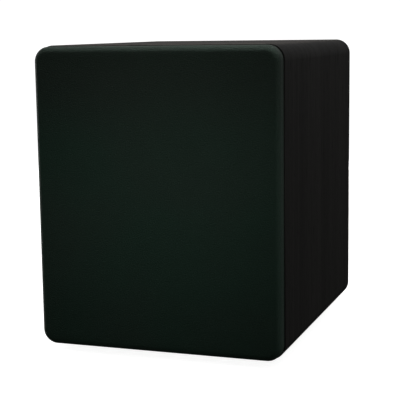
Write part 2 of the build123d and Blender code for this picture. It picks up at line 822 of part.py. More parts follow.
# Amplifier plate, with a hole for everything that passes through it.
plate_inner = facing_rear(plate_inner_y)
plate_outer = facing_rear(plate_outer_y)
with BuildPart() as amp_plate:
    with BuildSketch(plate_inner):
        RectangleRounded(amp_width, amp_height, amp_corner_radius)
        with Locations(*amp_screw_places):
            Circle(plate_screw[2] + screw_gap, mode=Mode.SUBTRACT)
        with Locations(level_place, crossover_place):
            Circle(bushing_radius + screw_gap, mode=Mode.SUBTRACT)
        with Locations(phase_place):
            Rectangle(lever_stem + phase_travel + 2 * lever_gap, lever_stem + 2 * lever_gap,
                      mode=Mode.SUBTRACT)
        with Locations(auto_place):
            Rectangle(lever_stem + 2 * auto_travel + 2 * lever_gap, lever_stem + 2 * lever_gap,
                      mode=Mode.SUBTRACT)
        with Locations(lamp_place):
            Circle(lamp_radius + screw_gap, mode=Mode.SUBTRACT)
        with Locations(*line_input_places):
            Circle(jack_radius + screw_gap, mode=Mode.SUBTRACT)
        with Locations(speaker_input_place):
            Rectangle(housing_width + 2 * panel_hole_gap, housing_height + 2 * panel_hole_gap,
                      mode=Mode.SUBTRACT)
        with Locations(mains_place):
            Rectangle(inlet_body[0] + 2 * panel_hole_gap, inlet_body[1] + 2 * panel_hole_gap,
                      mode=Mode.SUBTRACT)
        with Locations(rocker_place):
            Rectangle(rocker_body[0] + 2 * panel_hole_gap, rocker_body[1] + 2 * panel_hole_gap,
                      mode=Mode.SUBTRACT)
        with Locations(toroid_place):
            Circle(bolt_radius + screw_gap, mode=Mode.SUBTRACT)
    extrude(amount=amp_thickness)
amp_plate.part.label = "amp_plate"
pieces.append(amp_plate)

amp_screws = screw_set(plate_outer, amp_screw_places, plate_screw, plate_screw_length)
amp_screws.part.label = "amp_screws"
pieces.append(amp_screws)

# Heat sink: upright fins on a base that lies on the plate.
fin_pitch = (sink_width - fin_thickness) / (fin_count - 1)
with BuildPart() as heat_sink:
    with BuildSketch(facing_rear(plate_outer_y, heat_sink_place)):
        Rectangle(sink_width, sink_height)
    extrude(amount=sink_base)
    with BuildSketch(facing_rear(plate_outer_y + sink_base, heat_sink_place)):
        with GridLocations(fin_pitch, 0, fin_count, 1):
            Rectangle(fin_thickness, sink_height)
    extrude(amount=fin_depth)
heat_sink.part.label = "heat_sink"
pieces.append(heat_sink)

# Level and crossover controls: bodies behind the plate and nuts in front, with turning shafts and knobs.
knob_places = (level_place, crossover_place)
with BuildPart() as control_pots:
    with BuildSketch(plate_inner):
        with Locations(*knob_places):
            Rectangle(pot_size, pot_size)
    extrude(amount=-pot_depth)
    fillet(control_pots.edges().filter_by(Axis.Y), knob_lift)
    with BuildSketch(plate_inner):
        with Locations(*knob_places):
            Circle(bushing_radius)
    extrude(amount=amp_thickness + bushing_reach)
    with BuildSketch(facing_rear(plate_outer_y + bushing_reach)):
        with Locations(*knob_places):
            Circle(shaft_radius - shaft_flat / 2 + running_gap)
    extrude(amount=-(bushing_reach + amp_thickness + pot_depth / 2), mode=Mode.SUBTRACT)
    with BuildSketch(plate_outer):
        with Locations(*knob_places):
            RegularPolygon(nut_radius, 6)
        with Locations(*knob_places):
            Circle(bushing_radius + glue_gap, mode=Mode.SUBTRACT)
    extrude(amount=nut_thickness)
control_pots.part.label = "control_pots"
pieces.append(control_pots)


def control_shaft(place):
    """A thin journal in the bushing and a thicker flatted end that the knob sits on."""
    journal = shaft_radius - shaft_flat / 2
    tip = facing_rear(plate_outer_y + bushing_reach + running_gap, place)
    with BuildPart() as shaft:
        with BuildSketch(tip):
            Circle(journal)
        extrude(amount=-(bushing_reach + amp_thickness + pot_depth / 2 - 2 * running_gap))
        with BuildSketch(tip):
            Circle(shaft_radius)
            with Locations((0, 2 * shaft_radius - shaft_flat)):
                Rectangle(2 * shaft_radius, 2 * shaft_radius, mode=Mode.SUBTRACT)
        extrude(amount=shaft_reach - bushing_reach - knob_top - running_gap)
    return shaft


def control_knob(place):
    """A fluted knob with a hub on the shaft, a hollow skirt over the nut and a pointer line."""
    with BuildPart() as knob:
        with BuildSketch(facing_rear(plate_outer_y + knob_lift, place)):
            Circle(knob_radius)
        extrude(amount=knob_height)
        fillet(knob.faces().sort_by(Axis.Y)[-1].edges(), knob_lift)
        with BuildSketch(facing_rear(plate_outer_y + knob_lift, place)):
            with PolarLocations(knob_radius + flute_radius / 3, knob_flutes):
                Circle(flute_radius)
        extrude(amount=knob_height, mode=Mode.SUBTRACT)
        with BuildSketch(facing_rear(plate_outer_y + knob_lift, place)):
            Circle(knob_radius - knob_skirt)
        extrude(amount=knob_hollow, mode=Mode.SUBTRACT)
        with BuildSketch(facing_rear(plate_outer_y + bushing_reach + knob_hub_gap, place)):
            Circle(knob_hub_radius)
        extrude(amount=knob_height + knob_lift - bushing_reach - knob_top)
        with BuildSketch(facing_rear(plate_outer_y + bushing_reach, place)):
            Circle(shaft_radius + glue_gap)
            with Locations((0, 2 * shaft_radius - shaft_flat + glue_gap)):
                Rectangle(2 * shaft_radius + 1, 2 * shaft_radius, mode=Mode.SUBTRACT)
        extrude(amount=shaft_reach - bushing_reach - knob_top + glue_gap, mode=Mode.SUBTRACT)
        with BuildSketch(facing_rear(plate_outer_y + knob_lift + knob_height, place)):
            with Locations((0, pointer_middle)):
                Rectangle(pointer_width, pointer_length)
        extrude(amount=-pointer_width / 2, mode=Mode.SUBTRACT)
    return knob


level_shaft = control_shaft(level_place)
level_shaft.part.label = "level_shaft"
pieces.append(level_shaft)

level_knob = control_knob(level_place)
level_knob.part.label = "level_knob"
pieces.append(level_knob)

crossover_shaft = control_shaft(crossover_place)
crossover_shaft.part.label = "crossover_shaft"
pieces.append(crossover_shaft)

crossover_knob = control_knob(crossover_place)
crossover_knob.part.label = "crossover_knob"
pieces.append(crossover_knob)

# Phase and power-mode slide switches: bodies behind the plate, levers through its slots.
channel_depth = lever_foot_thickness + 2 * lever_gap
with BuildPart() as switch_bodies:
    with BuildSketch(plate_inner):
        with Locations(phase_place, auto_place):
            Rectangle(switch_length, switch_height)
    extrude(amount=-switch_depth)
    with BuildSketch(plate_inner):
        with Locations(phase_place):
            Rectangle(lever_foot + phase_travel + 2 * lever_gap, lever_foot_height + 2 * lever_gap)
        with Locations(auto_place):
            Rectangle(lever_foot + 2 * auto_travel + 2 * lever_gap, lever_foot_height + 2 * lever_gap)
    extrude(amount=-channel_depth, mode=Mode.SUBTRACT)
switch_bodies.part.label = "switch_bodies"
pieces.append(switch_bodies)


def slide_lever(place):
    """A square stem that passes through the plate, on a wider foot that slides in the switch body."""
    with BuildPart() as lever:
        with BuildSketch(facing_rear(plate_inner_y - lever_gap, place)):
            Rectangle(lever_foot, lever_foot_height)
        extrude(amount=-lever_foot_thickness)
        with BuildSketch(facing_rear(plate_inner_y - lever_gap, place)):
            Rectangle(lever_stem, lever_stem)
        extrude(amount=lever_gap + amp_thickness + lever_reach)
        fillet(lever.faces().sort_by(Axis.Y)[-1].edges(), lever_gap)
    return lever


phase_lever = slide_lever((phase_place[0] - phase_travel / 2, phase_place[1]))
phase_lever.part.label = "phase_lever"
pieces.append(phase_lever)

auto_lever = slide_lever(auto_place)
auto_lever.part.label = "auto_lever"
pieces.append(auto_lever)

# Status lamp: a domed lens held in the plate.
with BuildPart() as status_lamp:
    with BuildSketch(facing_rear(plate_outer_y, lamp_place)):
        Circle(lamp_radius)
    extrude(amount=lamp_radius)
    fillet(status_lamp.faces().sort_by(Axis.Y)[-1].edges(), lamp_dome)
    with BuildSketch(facing_rear(plate_outer_y, lamp_place)):
        Circle(lamp_radius)
    extrude(amount=-lamp_depth)
    with BuildSketch(facing_rear(plate_inner_y, lamp_place)):
        Circle(lamp_radius + lamp_rim)
    extrude(amount=-lamp_rim)
status_lamp.part.label = "status_lamp"
pieces.append(status_lamp)

# Line inputs: metal barrels that stand out of the plate, with coloured insulators inside.
with BuildPart() as line_jacks:
    with BuildSketch(plate_outer):
        with Locations(*line_input_places):
            Circle(jack_flange_radius)
    extrude(amount=jack_flange_thickness)
    with BuildSketch(plate_inner.offset(-jack_depth)):
        with Locations(*line_input_places):
            Circle(jack_radius)
    extrude(amount=jack_depth + amp_thickness + jack_reach)
    chamfer(line_jacks.faces().filter_by(Axis.Y).group_by(Axis.Y)[-1].edges(), jack_wall / 2)
    with BuildSketch(plate_inner.offset(-jack_depth)):
        with Locations(*line_input_places):
            Circle(jack_radius - jack_wall)
    extrude(amount=jack_depth + amp_thickness + jack_reach, mode=Mode.SUBTRACT)
line_jacks.part.label = "line_jacks"
pieces.append(line_jacks)

with BuildPart() as jack_insulators:
    with BuildSketch(plate_inner.offset(-jack_depth)):
        with Locations(*line_input_places):
            Circle(jack_radius - jack_wall - glue_gap)
    extrude(amount=jack_depth + amp_thickness + jack_reach - jack_wall)
    punch(plate_outer.offset(jack_reach), line_input_places, jack_hole, jack_reach + jack_depth / 2)
jack_insulators.part.label = "jack_insulators"
pieces.append(jack_insulators)

# Speaker-level inputs: a housing with four sprung levers over four wire holes.
clip_radius = clip_lever_thickness / 2
clip_tip = clip_pivot_depth + housing_reach + clip_reach
clip_drop = (clip_tip + clip_radius) * math.sin(math.radians(clip_angle))
slot_low = clip_height_place - clip_radius - clip_drop - clip_gap
slot_high = clip_height_place + clip_radius + clip_gap
slot_back = clip_pivot_depth + clip_radius + clip_gap
with BuildPart() as input_housing:
    with BuildSketch(facing_rear(plate_outer_y, speaker_input_place)):
        Rectangle(housing_width + 2, housing_height + 2)
    extrude(amount=housing_reach)
    chamfer(input_housing.faces().sort_by(Axis.Y)[-1].edges(), 1)
    with BuildSketch(facing_rear(plate_outer_y, speaker_input_place)):
        Rectangle(housing_width, housing_height)
    extrude(amount=-housing_depth)
    housing_face = facing_rear(plate_outer_y + housing_reach, speaker_input_place)
    with BuildSketch(housing_face):
        with Locations(*[(x, (slot_low + slot_high) / 2) for x in clip_places]):
            Rectangle(clip_slot, slot_high - slot_low)
    extrude(amount=-(housing_reach + slot_back), mode=Mode.SUBTRACT)
    punch(housing_face, [(x, wire_hole_place) for x in clip_places], wire_hole_radius,
          housing_reach + housing_depth / 2)
    pivot_side = from_side(plate_outer_y, speaker_input_place)
    for x in clip_places:
        with BuildSketch(pivot_side.offset(-x)):
            with Locations((-clip_pivot_depth, clip_height_place)):
                Circle(clip_trunnion + running_gap)
        extrude(amount=clip_slot / 2 + clip_trunnion_reach + running_gap, both=True, mode=Mode.SUBTRACT)
input_housing.part.label = "input_housing"
pieces.append(input_housing)

for number, x in enumerate(clip_places, start=1):
    with BuildPart() as clip_lever:
        with BuildSketch(from_side(plate_outer_y, speaker_input_place).offset(-x)):
            with Locations((-clip_pivot_depth, clip_height_place)):
                Circle(clip_radius)
                Rectangle(clip_tip, clip_lever_thickness, align=(Align.MIN, Align.CENTER))
        extrude(amount=clip_width / 2, both=True)
        fillet(clip_lever.faces().sort_by(Axis.Y)[-1].edges(), clip_gap * 2)
        with BuildSketch(from_side(plate_outer_y, speaker_input_place).offset(-x)):
            with Locations((-clip_pivot_depth, clip_height_place)):
                Circle(clip_trunnion)
        extrude(amount=clip_slot / 2 + clip_trunnion_reach, both=True)
    clip_lever.part.label = f"clip_lever_{number}"
    pieces.append(clip_lever)

# Mains inlet: a flanged body with a three-pin socket and a fuse drawer above it.
with BuildPart() as mains_inlet:
    with BuildSketch(facing_rear(plate_outer_y, mains_place)):
        RectangleRounded(*inlet_flange, socket_corner)
    extrude(amount=inlet_flange_thickness)
    with BuildSketch(facing_rear(plate_outer_y, mains_place)):
        Rectangle(*inlet_body)
    extrude(amount=-(inlet_depth - inlet_flange_thickness))
    inlet_face = facing_rear(plate_outer_y + inlet_flange_thickness, mains_place)
    with BuildSketch(inlet_face):
        with Locations((0, socket_place)):
            RectangleRounded(*socket_size, socket_corner)
    extrude(amount=-socket_depth, mode=Mode.SUBTRACT)
    with BuildSketch(inlet_face):
        with Locations((0, drawer_place)):
            Rectangle(drawer_size[0] + 2 * drawer_gap, drawer_size[1] + 2 * drawer_gap)
    extrude(amount=-(drawer_depth + drawer_gap), mode=Mode.SUBTRACT)
mains_inlet.part.label = "mains_inlet"
pieces.append(mains_inlet)

with BuildPart() as inlet_pins:
    with BuildSketch(facing_rear(plate_outer_y + inlet_flange_thickness - socket_depth, mains_place)):
        with Locations((-pin_spacing, socket_place - pin_raise / 2), (0, socket_place + pin_raise / 2),
                       (pin_spacing, socket_place - pin_raise / 2)):
            Rectangle(*pin_size)
    extrude(amount=pin_length)
    fillet(inlet_pins.faces().filter_by(Axis.Y).group_by(Axis.Y)[-1].edges(), pin_size[0] / 4)
inlet_pins.part.label = "inlet_pins"
pieces.append(inlet_pins)

# Fuse drawer: a tray with a finger lip, holding a cartridge fuse across it.
drawer_middle = (mains_place[0], mains_place[1] + drawer_place)
drawer_wall = (drawer_size[1] - 2 * fuse_radius) / 2 - drawer_gap
with BuildPart() as fuse_drawer:
    with BuildSketch(facing_rear(plate_outer_y + inlet_flange_thickness, drawer_middle)):
        Rectangle(*drawer_size)
    extrude(amount=-drawer_depth)
    with BuildSketch(facing_rear(plate_outer_y + inlet_flange_thickness, drawer_middle)):
        with Locations((0, drawer_pull)):
            Rectangle(drawer_size[0] / 2, drawer_pull)
    extrude(amount=drawer_pull)
    fuse_depth = drawer_depth - fuse_radius - drawer_wall - drawer_gap
    with BuildSketch(facing_rear(plate_outer_y + inlet_flange_thickness - fuse_depth, drawer_middle)
                     .offset(-fuse_radius - drawer_gap)):
        Rectangle(fuse_length + 2 * drawer_gap, 2 * (fuse_radius + drawer_gap))
    extrude(amount=2 * (fuse_radius + drawer_gap), mode=Mode.SUBTRACT)
fuse_drawer.part.label = "fuse_drawer"
pieces.append(fuse_drawer)

with BuildPart() as fuse:
    with BuildSketch(from_side(plate_outer_y + inlet_flange_thickness - fuse_depth, drawer_middle)):
        Circle(fuse_radius)
    extrude(amount=fuse_length / 2, both=True)
fuse.part.label = "fuse"
pieces.append(fuse)

# Power rocker in its housing.
rocker_side = from_side(plate_outer_y, rocker_place)
with BuildPart() as rocker_housing:
    with BuildSketch(facing_rear(plate_outer_y, rocker_place)):
        RectangleRounded(rocker_body[0] + 2 * rocker_flange, rocker_body[1] + 2 * rocker_flange,
                         rocker_flange)
    extrude(amount=rocker_flange)
    with BuildSketch(facing_rear(plate_outer_y, rocker_place)):
        Rectangle(*rocker_body)
    extrude(amount=-rocker_depth)
    with BuildSketch(facing_rear(plate_outer_y + rocker_flange, rocker_place)):
        Rectangle(rocker_width + 2 * rocker_gap, 2 * rocker_slot_half)
    extrude(amount=-(rocker_depth - rocker_wall + rocker_flange), mode=Mode.SUBTRACT)
    with BuildSketch(rocker_side):
        with Locations((-rocker_pivot_depth, 0)):
            Circle(rocker_trunnion + running_gap)
    extrude(amount=rocker_width / 2 + rocker_gap + rocker_trunnion_reach + running_gap, both=True,
            mode=Mode.SUBTRACT)
rocker_housing.part.label = "rocker_housing"
pieces.append(rocker_housing)

rocker_rise = rocker_half * math.tan(math.radians(rocker_tilt))
with BuildPart() as power_rocker:
    with BuildSketch(rocker_side):
        with Locations(Location((-rocker_pivot_depth, 0), rocker_tilt)):
            Polygon((rocker_face, 0), (rocker_face + rocker_rise, rocker_half),
                    (rocker_trunnion, rocker_half), (-2 * rocker_trunnion, rocker_back_half),
                    (-4 * rocker_trunnion, 0), (-2 * rocker_trunnion, -rocker_back_half),
                    (rocker_trunnion, -rocker_half), (rocker_face + rocker_rise, -rocker_half), align=None)
    extrude(amount=rocker_width / 2, both=True)
    fillet(power_rocker.edges().filter_by(Axis.X).group_by(Axis.Y)[-1], rocker_gap)
    with BuildSketch(rocker_side):
        with Locations((-rocker_pivot_depth, 0)):
            Circle(rocker_trunnion)
    extrude(amount=rocker_width / 2 + rocker_gap + rocker_trunnion_reach, both=True)
power_rocker.part.label = "power_rocker"
pieces.append(power_rocker)

# Circuit board on four pillars, with its two filter capacitors.
board_outer_y = plate_inner_y - board_standoff
standoff_places = [(board_place[0] + across * (board_size[0] / 2 - standoff_inset),
                    board_place[1] + up * (board_size[1] / 2 - standoff_inset))
                   for across in (-1, 1) for up in (-1, 1)]
with BuildPart() as board_pillars:
    with BuildSketch(plate_inner):
        with Locations(*standoff_places):
            RegularPolygon(standoff_radius, 6)
    extrude(amount=-board_standoff)
board_pillars.part.label = "board_pillars"
pieces.append(board_pillars)

with BuildPart() as main_board:
    with BuildSketch(facing_rear(board_outer_y, board_place)):
        Rectangle(*board_size)
    extrude(amount=-board_thickness)
main_board.part.label = "main_board"
pieces.append(main_board)

with BuildPart() as filter_capacitors:
    with BuildSketch(facing_rear(board_outer_y - board_thickness)):
        with Locations(*capacitor_places):
            Circle(capacitor_radius)
    extrude(amount=-capacitor_length)
    fillet(filter_capacitors.faces().filter_by(Axis.Y).group_by(Axis.Y)[0].edges(), board_thickness)
filter_capacitors.part.label = "filter_capacitors"
pieces.append(filter_capacitors)

# Output transistors, clamped flat on the plate behind the heat sink.
with BuildPart() as output_transistors:
    with BuildSketch(facing_rear(plate_inner_y, transistor_middle)):
        with GridLocations(*transistor_spacing, 2, 2):
            Rectangle(transistor_size[0], transistor_size[1])
    extrude(amount=-transistor_size[2])
output_transistors.part.label = "output_transistors"
pieces.append(output_transistors)

# Toroidal transformer between two rubber pads, held by a dished washer and one bolt.
def toroid_ring(inside, outside, near, far):
    """A ring about the toroid's bolt, between two depths behind the plate."""
    with BuildPart() as ring:
        with BuildSketch(facing_rear(plate_inner_y - near, toroid_place)):
            Circle(outside)
            Circle(inside, mode=Mode.SUBTRACT)
        extrude(amount=-(far - near))
    return ring


toroid_back = pad_thickness + toroid_length
with BuildPart() as toroid:
    add(toroid_ring(toroid_hole, toroid_radius, pad_thickness, toroid_back).part)
    fillet(toroid.edges().filter_by(GeomType.CIRCLE).sort_by(SortBy.RADIUS)[-2:], toroid_round)
toroid.part.label = "toroid"
pieces.append(toroid)

with BuildPart() as toroid_pads:
    add(toroid_ring(bolt_radius + 1, clamp_radius, 0, pad_thickness).part)
    add(toroid_ring(bolt_radius + 1, clamp_radius, toroid_back, toroid_back + pad_thickness).part)
toroid_pads.part.label = "toroid_pads"
pieces.append(toroid_pads)

# Toroid fixings: the washer and the bolt through the middle.
clamp_back = toroid_back + pad_thickness + clamp_thickness
with BuildPart() as toroid_fixings:
    add(toroid_ring(bolt_radius + screw_gap, clamp_radius, toroid_back + pad_thickness, clamp_back).part)
    with BuildSketch(facing_rear(plate_inner_y - clamp_back - glue_gap, toroid_place)):
        RegularPolygon(bolt_head_radius, 6)
    extrude(amount=-bolt_head_height)
    with BuildSketch(facing_rear(plate_outer_y, toroid_place)):
        Circle(bolt_radius)
    extrude(amount=-(amp_thickness + clamp_back + glue_gap))
toroid_fixings.part.label = "toroid_fixings"
pieces.append(toroid_fixings)


def lead_route(side):
    """Points of a lead that sags from the board to its tab; side is -1 for the lower, 1 for the upper."""
    start = Vector(tab_x, board_outer_y - board_thickness, driver_z + side * tab_spacing / 2)
    finish = Vector(tab_x, tab_end + connector_thickness, start.Z)
    sag = Vector(tab_x - lead_sag / 2, (start.Y + finish.Y) / 2, start.Z - lead_sag)
    return [start, start - Vector(0, lead_straight, 0), sag, finish + Vector(0, lead_straight, 0), finish]


def bend_radii(route):
    """The largest arc that each inner point's two runs have room for."""
    radii = []
    for before, corner, after in zip(route, route[1:], route[2:]):
        turn = math.radians((corner - before).get_angle(after - corner))
        run = min((corner - before).length, (after - corner).length)
        radii.append(lead_arc_share * run / math.tan(turn / 2))
    return radii


# Speaker leads: two wires from the board, through the brace's window, to push-on connectors.
with BuildPart() as speaker_leads:
    for side in (-1, 1):
        route = lead_route(side)
        with BuildLine() as path:
            FilletPolyline(*route, radius=bend_radii(route))
        with BuildSketch(Plane(origin=route[0], z_dir=(0, -1, 0))):
            Circle(lead_radius)
        sweep(path=path.wires()[0])
    lead_length = path.wires()[0].length
    tube_volume = 2 * math.pi * lead_radius ** 2 * lead_length
    print("lead length", round(lead_length, 1), "bend radii", [round(radius) for radius in bend_radii(route)])
    print("volume against section times length", round(speaker_leads.part.volume / tube_volume, 4))
    with BuildSketch(facing_front(tab_end - connector_grip, driver_z)):
        with Locations(*tab_places):
            Rectangle(connector_thickness, tab_width + connector_thickness / 2)
    extrude(amount=-(connector_grip + connector_thickness))
    with BuildSketch(facing_front(tab_end - connector_grip, driver_z)):
        with Locations(*tab_places):
            Rectangle(tab_thickness + glue_gap, tab_width + glue_gap)
    extrude(amount=-(connector_grip + glue_gap), mode=Mode.SUBTRACT)
speaker_leads.part.label = "speaker_leads"
pieces.append(speaker_leads)

for piece in pieces:
    export_step(piece.part, f"parts/{piece.part.label}.step")
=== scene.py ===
import math

import bpy
from mathutils import Matrix, Vector
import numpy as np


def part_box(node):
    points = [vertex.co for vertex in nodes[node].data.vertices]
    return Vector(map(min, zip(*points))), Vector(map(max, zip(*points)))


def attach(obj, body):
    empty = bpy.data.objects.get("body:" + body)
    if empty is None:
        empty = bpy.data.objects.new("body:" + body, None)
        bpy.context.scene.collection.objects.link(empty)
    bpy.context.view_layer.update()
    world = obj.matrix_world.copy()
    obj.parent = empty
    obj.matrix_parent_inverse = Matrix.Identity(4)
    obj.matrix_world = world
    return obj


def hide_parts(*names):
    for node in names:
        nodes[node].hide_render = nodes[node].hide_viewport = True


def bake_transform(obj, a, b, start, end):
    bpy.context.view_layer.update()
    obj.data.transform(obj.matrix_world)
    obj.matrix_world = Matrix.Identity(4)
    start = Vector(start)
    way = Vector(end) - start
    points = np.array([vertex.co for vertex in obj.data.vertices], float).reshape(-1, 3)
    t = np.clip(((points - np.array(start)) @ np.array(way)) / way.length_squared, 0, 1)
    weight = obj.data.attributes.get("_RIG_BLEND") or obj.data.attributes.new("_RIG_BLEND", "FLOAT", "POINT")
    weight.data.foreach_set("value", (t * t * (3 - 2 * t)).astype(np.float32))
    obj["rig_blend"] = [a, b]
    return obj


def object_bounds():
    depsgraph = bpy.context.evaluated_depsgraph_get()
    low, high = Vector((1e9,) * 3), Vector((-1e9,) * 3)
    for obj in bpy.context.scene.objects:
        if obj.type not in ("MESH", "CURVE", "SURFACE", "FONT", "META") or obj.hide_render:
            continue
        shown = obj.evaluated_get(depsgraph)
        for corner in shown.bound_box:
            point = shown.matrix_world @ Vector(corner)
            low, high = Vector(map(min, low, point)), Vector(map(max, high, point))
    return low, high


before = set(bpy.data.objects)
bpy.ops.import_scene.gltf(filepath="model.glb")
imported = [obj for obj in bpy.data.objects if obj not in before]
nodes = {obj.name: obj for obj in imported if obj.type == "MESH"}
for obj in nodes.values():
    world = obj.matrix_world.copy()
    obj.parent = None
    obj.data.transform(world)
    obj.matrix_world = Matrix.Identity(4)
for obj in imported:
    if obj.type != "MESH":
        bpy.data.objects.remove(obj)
cadLow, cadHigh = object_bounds()
scene = bpy.context.scene
print("frame loaded,", len(nodes), "nodes")


# Node trees, for finishes and for repeated pieces

class Signal:                                   # a socket that Python's operators work on
    def __init__(self, tree, socket):
        self.tree = tree
        self.socket = socket

    def __add__(self, other):
        return self.tree.maths("ADD", self, other)

    def __radd__(self, other):
        return self.tree.maths("ADD", other, self)

    def __sub__(self, other):
        return self.tree.maths("SUBTRACT", self, other)

    def __rsub__(self, other):
        return self.tree.maths("SUBTRACT", other, self)

    def __mul__(self, other):
        return self.tree.maths("MULTIPLY", self, other)

    def __rmul__(self, other):
        return self.tree.maths("MULTIPLY", other, self)

    def __truediv__(self, other):
        return self.tree.maths("DIVIDE", self, other)

    def __pow__(self, other):
        return self.tree.maths("POWER", self, other)


class NodeTree:
    def __init__(self, tree):
        self.tree = tree

    def node(self, kind, settings, sockets, output=0):
        made = self.tree.nodes.new(kind)
        for name, value in settings.items():
            setattr(made, name, value)
        for name, value in sockets.items():
            if isinstance(value, Signal):
                self.tree.links.new(value.socket, made.inputs[name])
            else:
                made.inputs[name].default_value = value
        return Signal(self, made.outputs[output])

    def end(self, kind, result, socket):        # the tree's closing node
        leave = self.tree.nodes.new(kind)
        self.tree.links.new(result.socket, leave.inputs[socket])

    def maths(self, operation, first, second=0.0):
        return self.node("ShaderNodeMath", {"operation": operation}, {0: first, 1: second})

    def split(self, vector):
        parts = self.node("ShaderNodeSeparateXYZ", {}, {"Vector": vector})
        return [Signal(self, socket) for socket in parts.socket.node.outputs]

    def vector(self, x=0.0, y=0.0, z=0.0):
        return self.node("ShaderNodeCombineXYZ", {}, {"X": x, "Y": y, "Z": z})

    def least(self, first, second):
        return self.maths("MINIMUM", first, second)

    def greatest(self, first, second):
        return self.maths("MAXIMUM", first, second)

    def size(self, value):                      # distance from zero
        return self.maths("ABSOLUTE", value)

    def wave(self, value):
        return self.maths("SINE", value * math.pi)


def paint(red, green, blue):
    return (red, green, blue, 1.0)


def grey(level):
    return paint(level, level, level)


def shade(colour, amount):
    return paint(*(part * amount for part in colour[:3]))


def boxOf(node):                                # low corner, high corner and middle
    low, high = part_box(node)
    return low, high, (low + high) / 2


class Finish(NodeTree):                         # one material, made from its dictionary of values
    constants = {"gloss": "Specular IOR Level", "tint": "Specular Tint", "metal": "Metallic",
                 "coat": "Coat Weight", "sheen": "Sheen Weight", "sheenRoughness": "Sheen Roughness",
                 "sheenTint": "Sheen Tint", "glow": "Emission Strength"}

    def __init__(self, name, look):
        self.look = look
        self.material = bpy.data.materials.new(name)
        self.material.use_nodes = True
        super().__init__(self.material.node_tree)
        self.tree.nodes.clear()
        self.place = self.node("ShaderNodeTexCoord", {}, {}, "Object")

    def stretched(self, scale):
        return self.node("ShaderNodeMapping", {}, {"Vector": self.place, "Scale": scale})

    def noise(self, scale, detail=2.0, roughness=0.5, vector=None):
        sockets = {"Vector": vector or self.place, "Scale": scale, "Detail": detail, "Roughness": roughness}
        return self.node("ShaderNodeTexNoise", {}, sockets)

    def cells(self, scale, vector=None, feature="F1"):
        sockets = {"Vector": vector or self.place, "Scale": scale}
        return self.node("ShaderNodeTexVoronoi", {"feature": feature}, sockets)

    def step(self, value, start, end):          # 0 at start, 1 at end
        sockets = {"Value": value, "From Min": start, "From Max": end}
        return self.node("ShaderNodeMapRange", {"interpolation_type": "SMOOTHSTEP"}, sockets)

    def blend(self, share, first, second):      # colours
        return self.node("ShaderNodeMix", {"data_type": "RGBA"}, {0: share, 6: first, 7: second}, 2)

    def mottled(self, share):
        return self.blend(share, self.look["dark"], self.look["pale"])

    def edge(self, node, width):                # 1 at the edges of a boxy node, 0 past width
        reaches = []
        for part, first, last, middle in zip(self.split(self.place), *boxOf(node)):
            reaches.append((last - first) / 2 - self.size(part - middle))
        x, y, z = reaches
        second = self.greatest(self.least(x, y), self.least(self.greatest(x, y), z))
        return self.step(second, width, 0.0)

    def surface(self, colour, rougher=0.0, relief=None, varying=None):
        look = self.look
        sockets = {socket: look[name] for name, socket in self.constants.items() if name in look}
        sockets.update({"Base Color": colour, "Roughness": look["roughness"] + rougher})
        if relief:
            sockets["Normal"] = self.node("ShaderNodeBump", {}, {"Height": relief, "Distance": look["depth"]})
        sockets.update(varying or {})
        self.end("ShaderNodeOutputMaterial", self.node("ShaderNodeBsdfPrincipled", {}, sockets), "Surface")
        return self.material


class Pattern(NodeTree):                        # one Geometry Nodes tree, with named sizes
    kinds = {int: "NodeSocketInt", float: "NodeSocketFloat", tuple: "NodeSocketVector"}

    def __init__(self, name, sizes):
        super().__init__(bpy.data.node_groups.new(name, "GeometryNodeTree"))
        self.name = name
        self.sizes = sizes
        self.tree.interface.new_socket("Geometry", in_out="OUTPUT", socket_type="NodeSocketGeometry")
        self.keys = {}
        for label, value in sizes.items():
            kind = self.kinds[type(value)]
            socket = self.tree.interface.new_socket(label, in_out="INPUT", socket_type=kind)
            self.keys[label] = socket.identifier
        self.entry = self.tree.nodes.new("NodeGroupInput")

    def given(self, label):
        return Signal(self, self.entry.outputs[label])

    def facing(self):                           # a turn that follows the curve
        tangent = self.node("GeometryNodeInputTangent", {}, {})
        return self.node("FunctionNodeAlignRotationToVector", {"axis": "X"}, {"Vector": tangent})

    def make(self, shape, turn, finish):        # stood up in its place, as a plain mesh object
        stand = self.node("FunctionNodeEulerToRotation", {}, {"Euler": turn})
        shape = self.node("GeometryNodeTransform", {},
                          {"Geometry": shape, "Translation": self.given("Place"), "Rotation": stand})
        solid = self.node("GeometryNodeRealizeInstances", {}, {"Geometry": shape})
        solid = self.node("GeometryNodeSetMaterial", {}, {"Geometry": solid, "Material": finish})
        self.end("NodeGroupOutput", solid, 0)
        holder = newObject(self.name, bpy.data.meshes.new(self.name))
        modifier = holder.modifiers.new(self.name, "NODES")
        modifier.node_group = self.tree
        for label, value in self.sizes.items():
            modifier[self.keys[label]] = value
        return plainMesh(holder)


def newObject(name, data):
    made = bpy.data.objects.new(name, data)
    scene.collection.objects.link(made)
    return made


def plainMesh(piece):                           # modifiers worked into the mesh, and removed
    view = bpy.context.evaluated_depsgraph_get()
    mesh = bpy.data.meshes.new_from_object(piece.evaluated_get(view))
    mesh.name = piece.name
    piece.modifiers.clear()
    piece.data = mesh
    return piece


def meshPiece(name, points, faces, finish):
    mesh = bpy.data.meshes.new(name)
    mesh.from_pydata(points, [], faces)
    mesh.materials.append(finish)
    mesh.update()
    return newObject(name, mesh)


def smooth(piece, angle=None):
    piece.data.polygons.foreach_set("use_smooth", [True] * len(piece.data.polygons))
    if angle is not None:
        piece.data.set_sharp_from_angle(angle=math.radians(angle))


# Camera, light and floor

camera = {
    "azimuth": 19.494,
    "elevation": 8.593,
    "roll": -0.7905,
    "distance": 1.6416,
    "across": -0.0110,                          # how far the view's middle is off the cabinet's
    "above": -0.0271,
    "lens": 101.85,
    "sensor": 36,
    "nearest": 0.05,
    "farthest": 60,
}


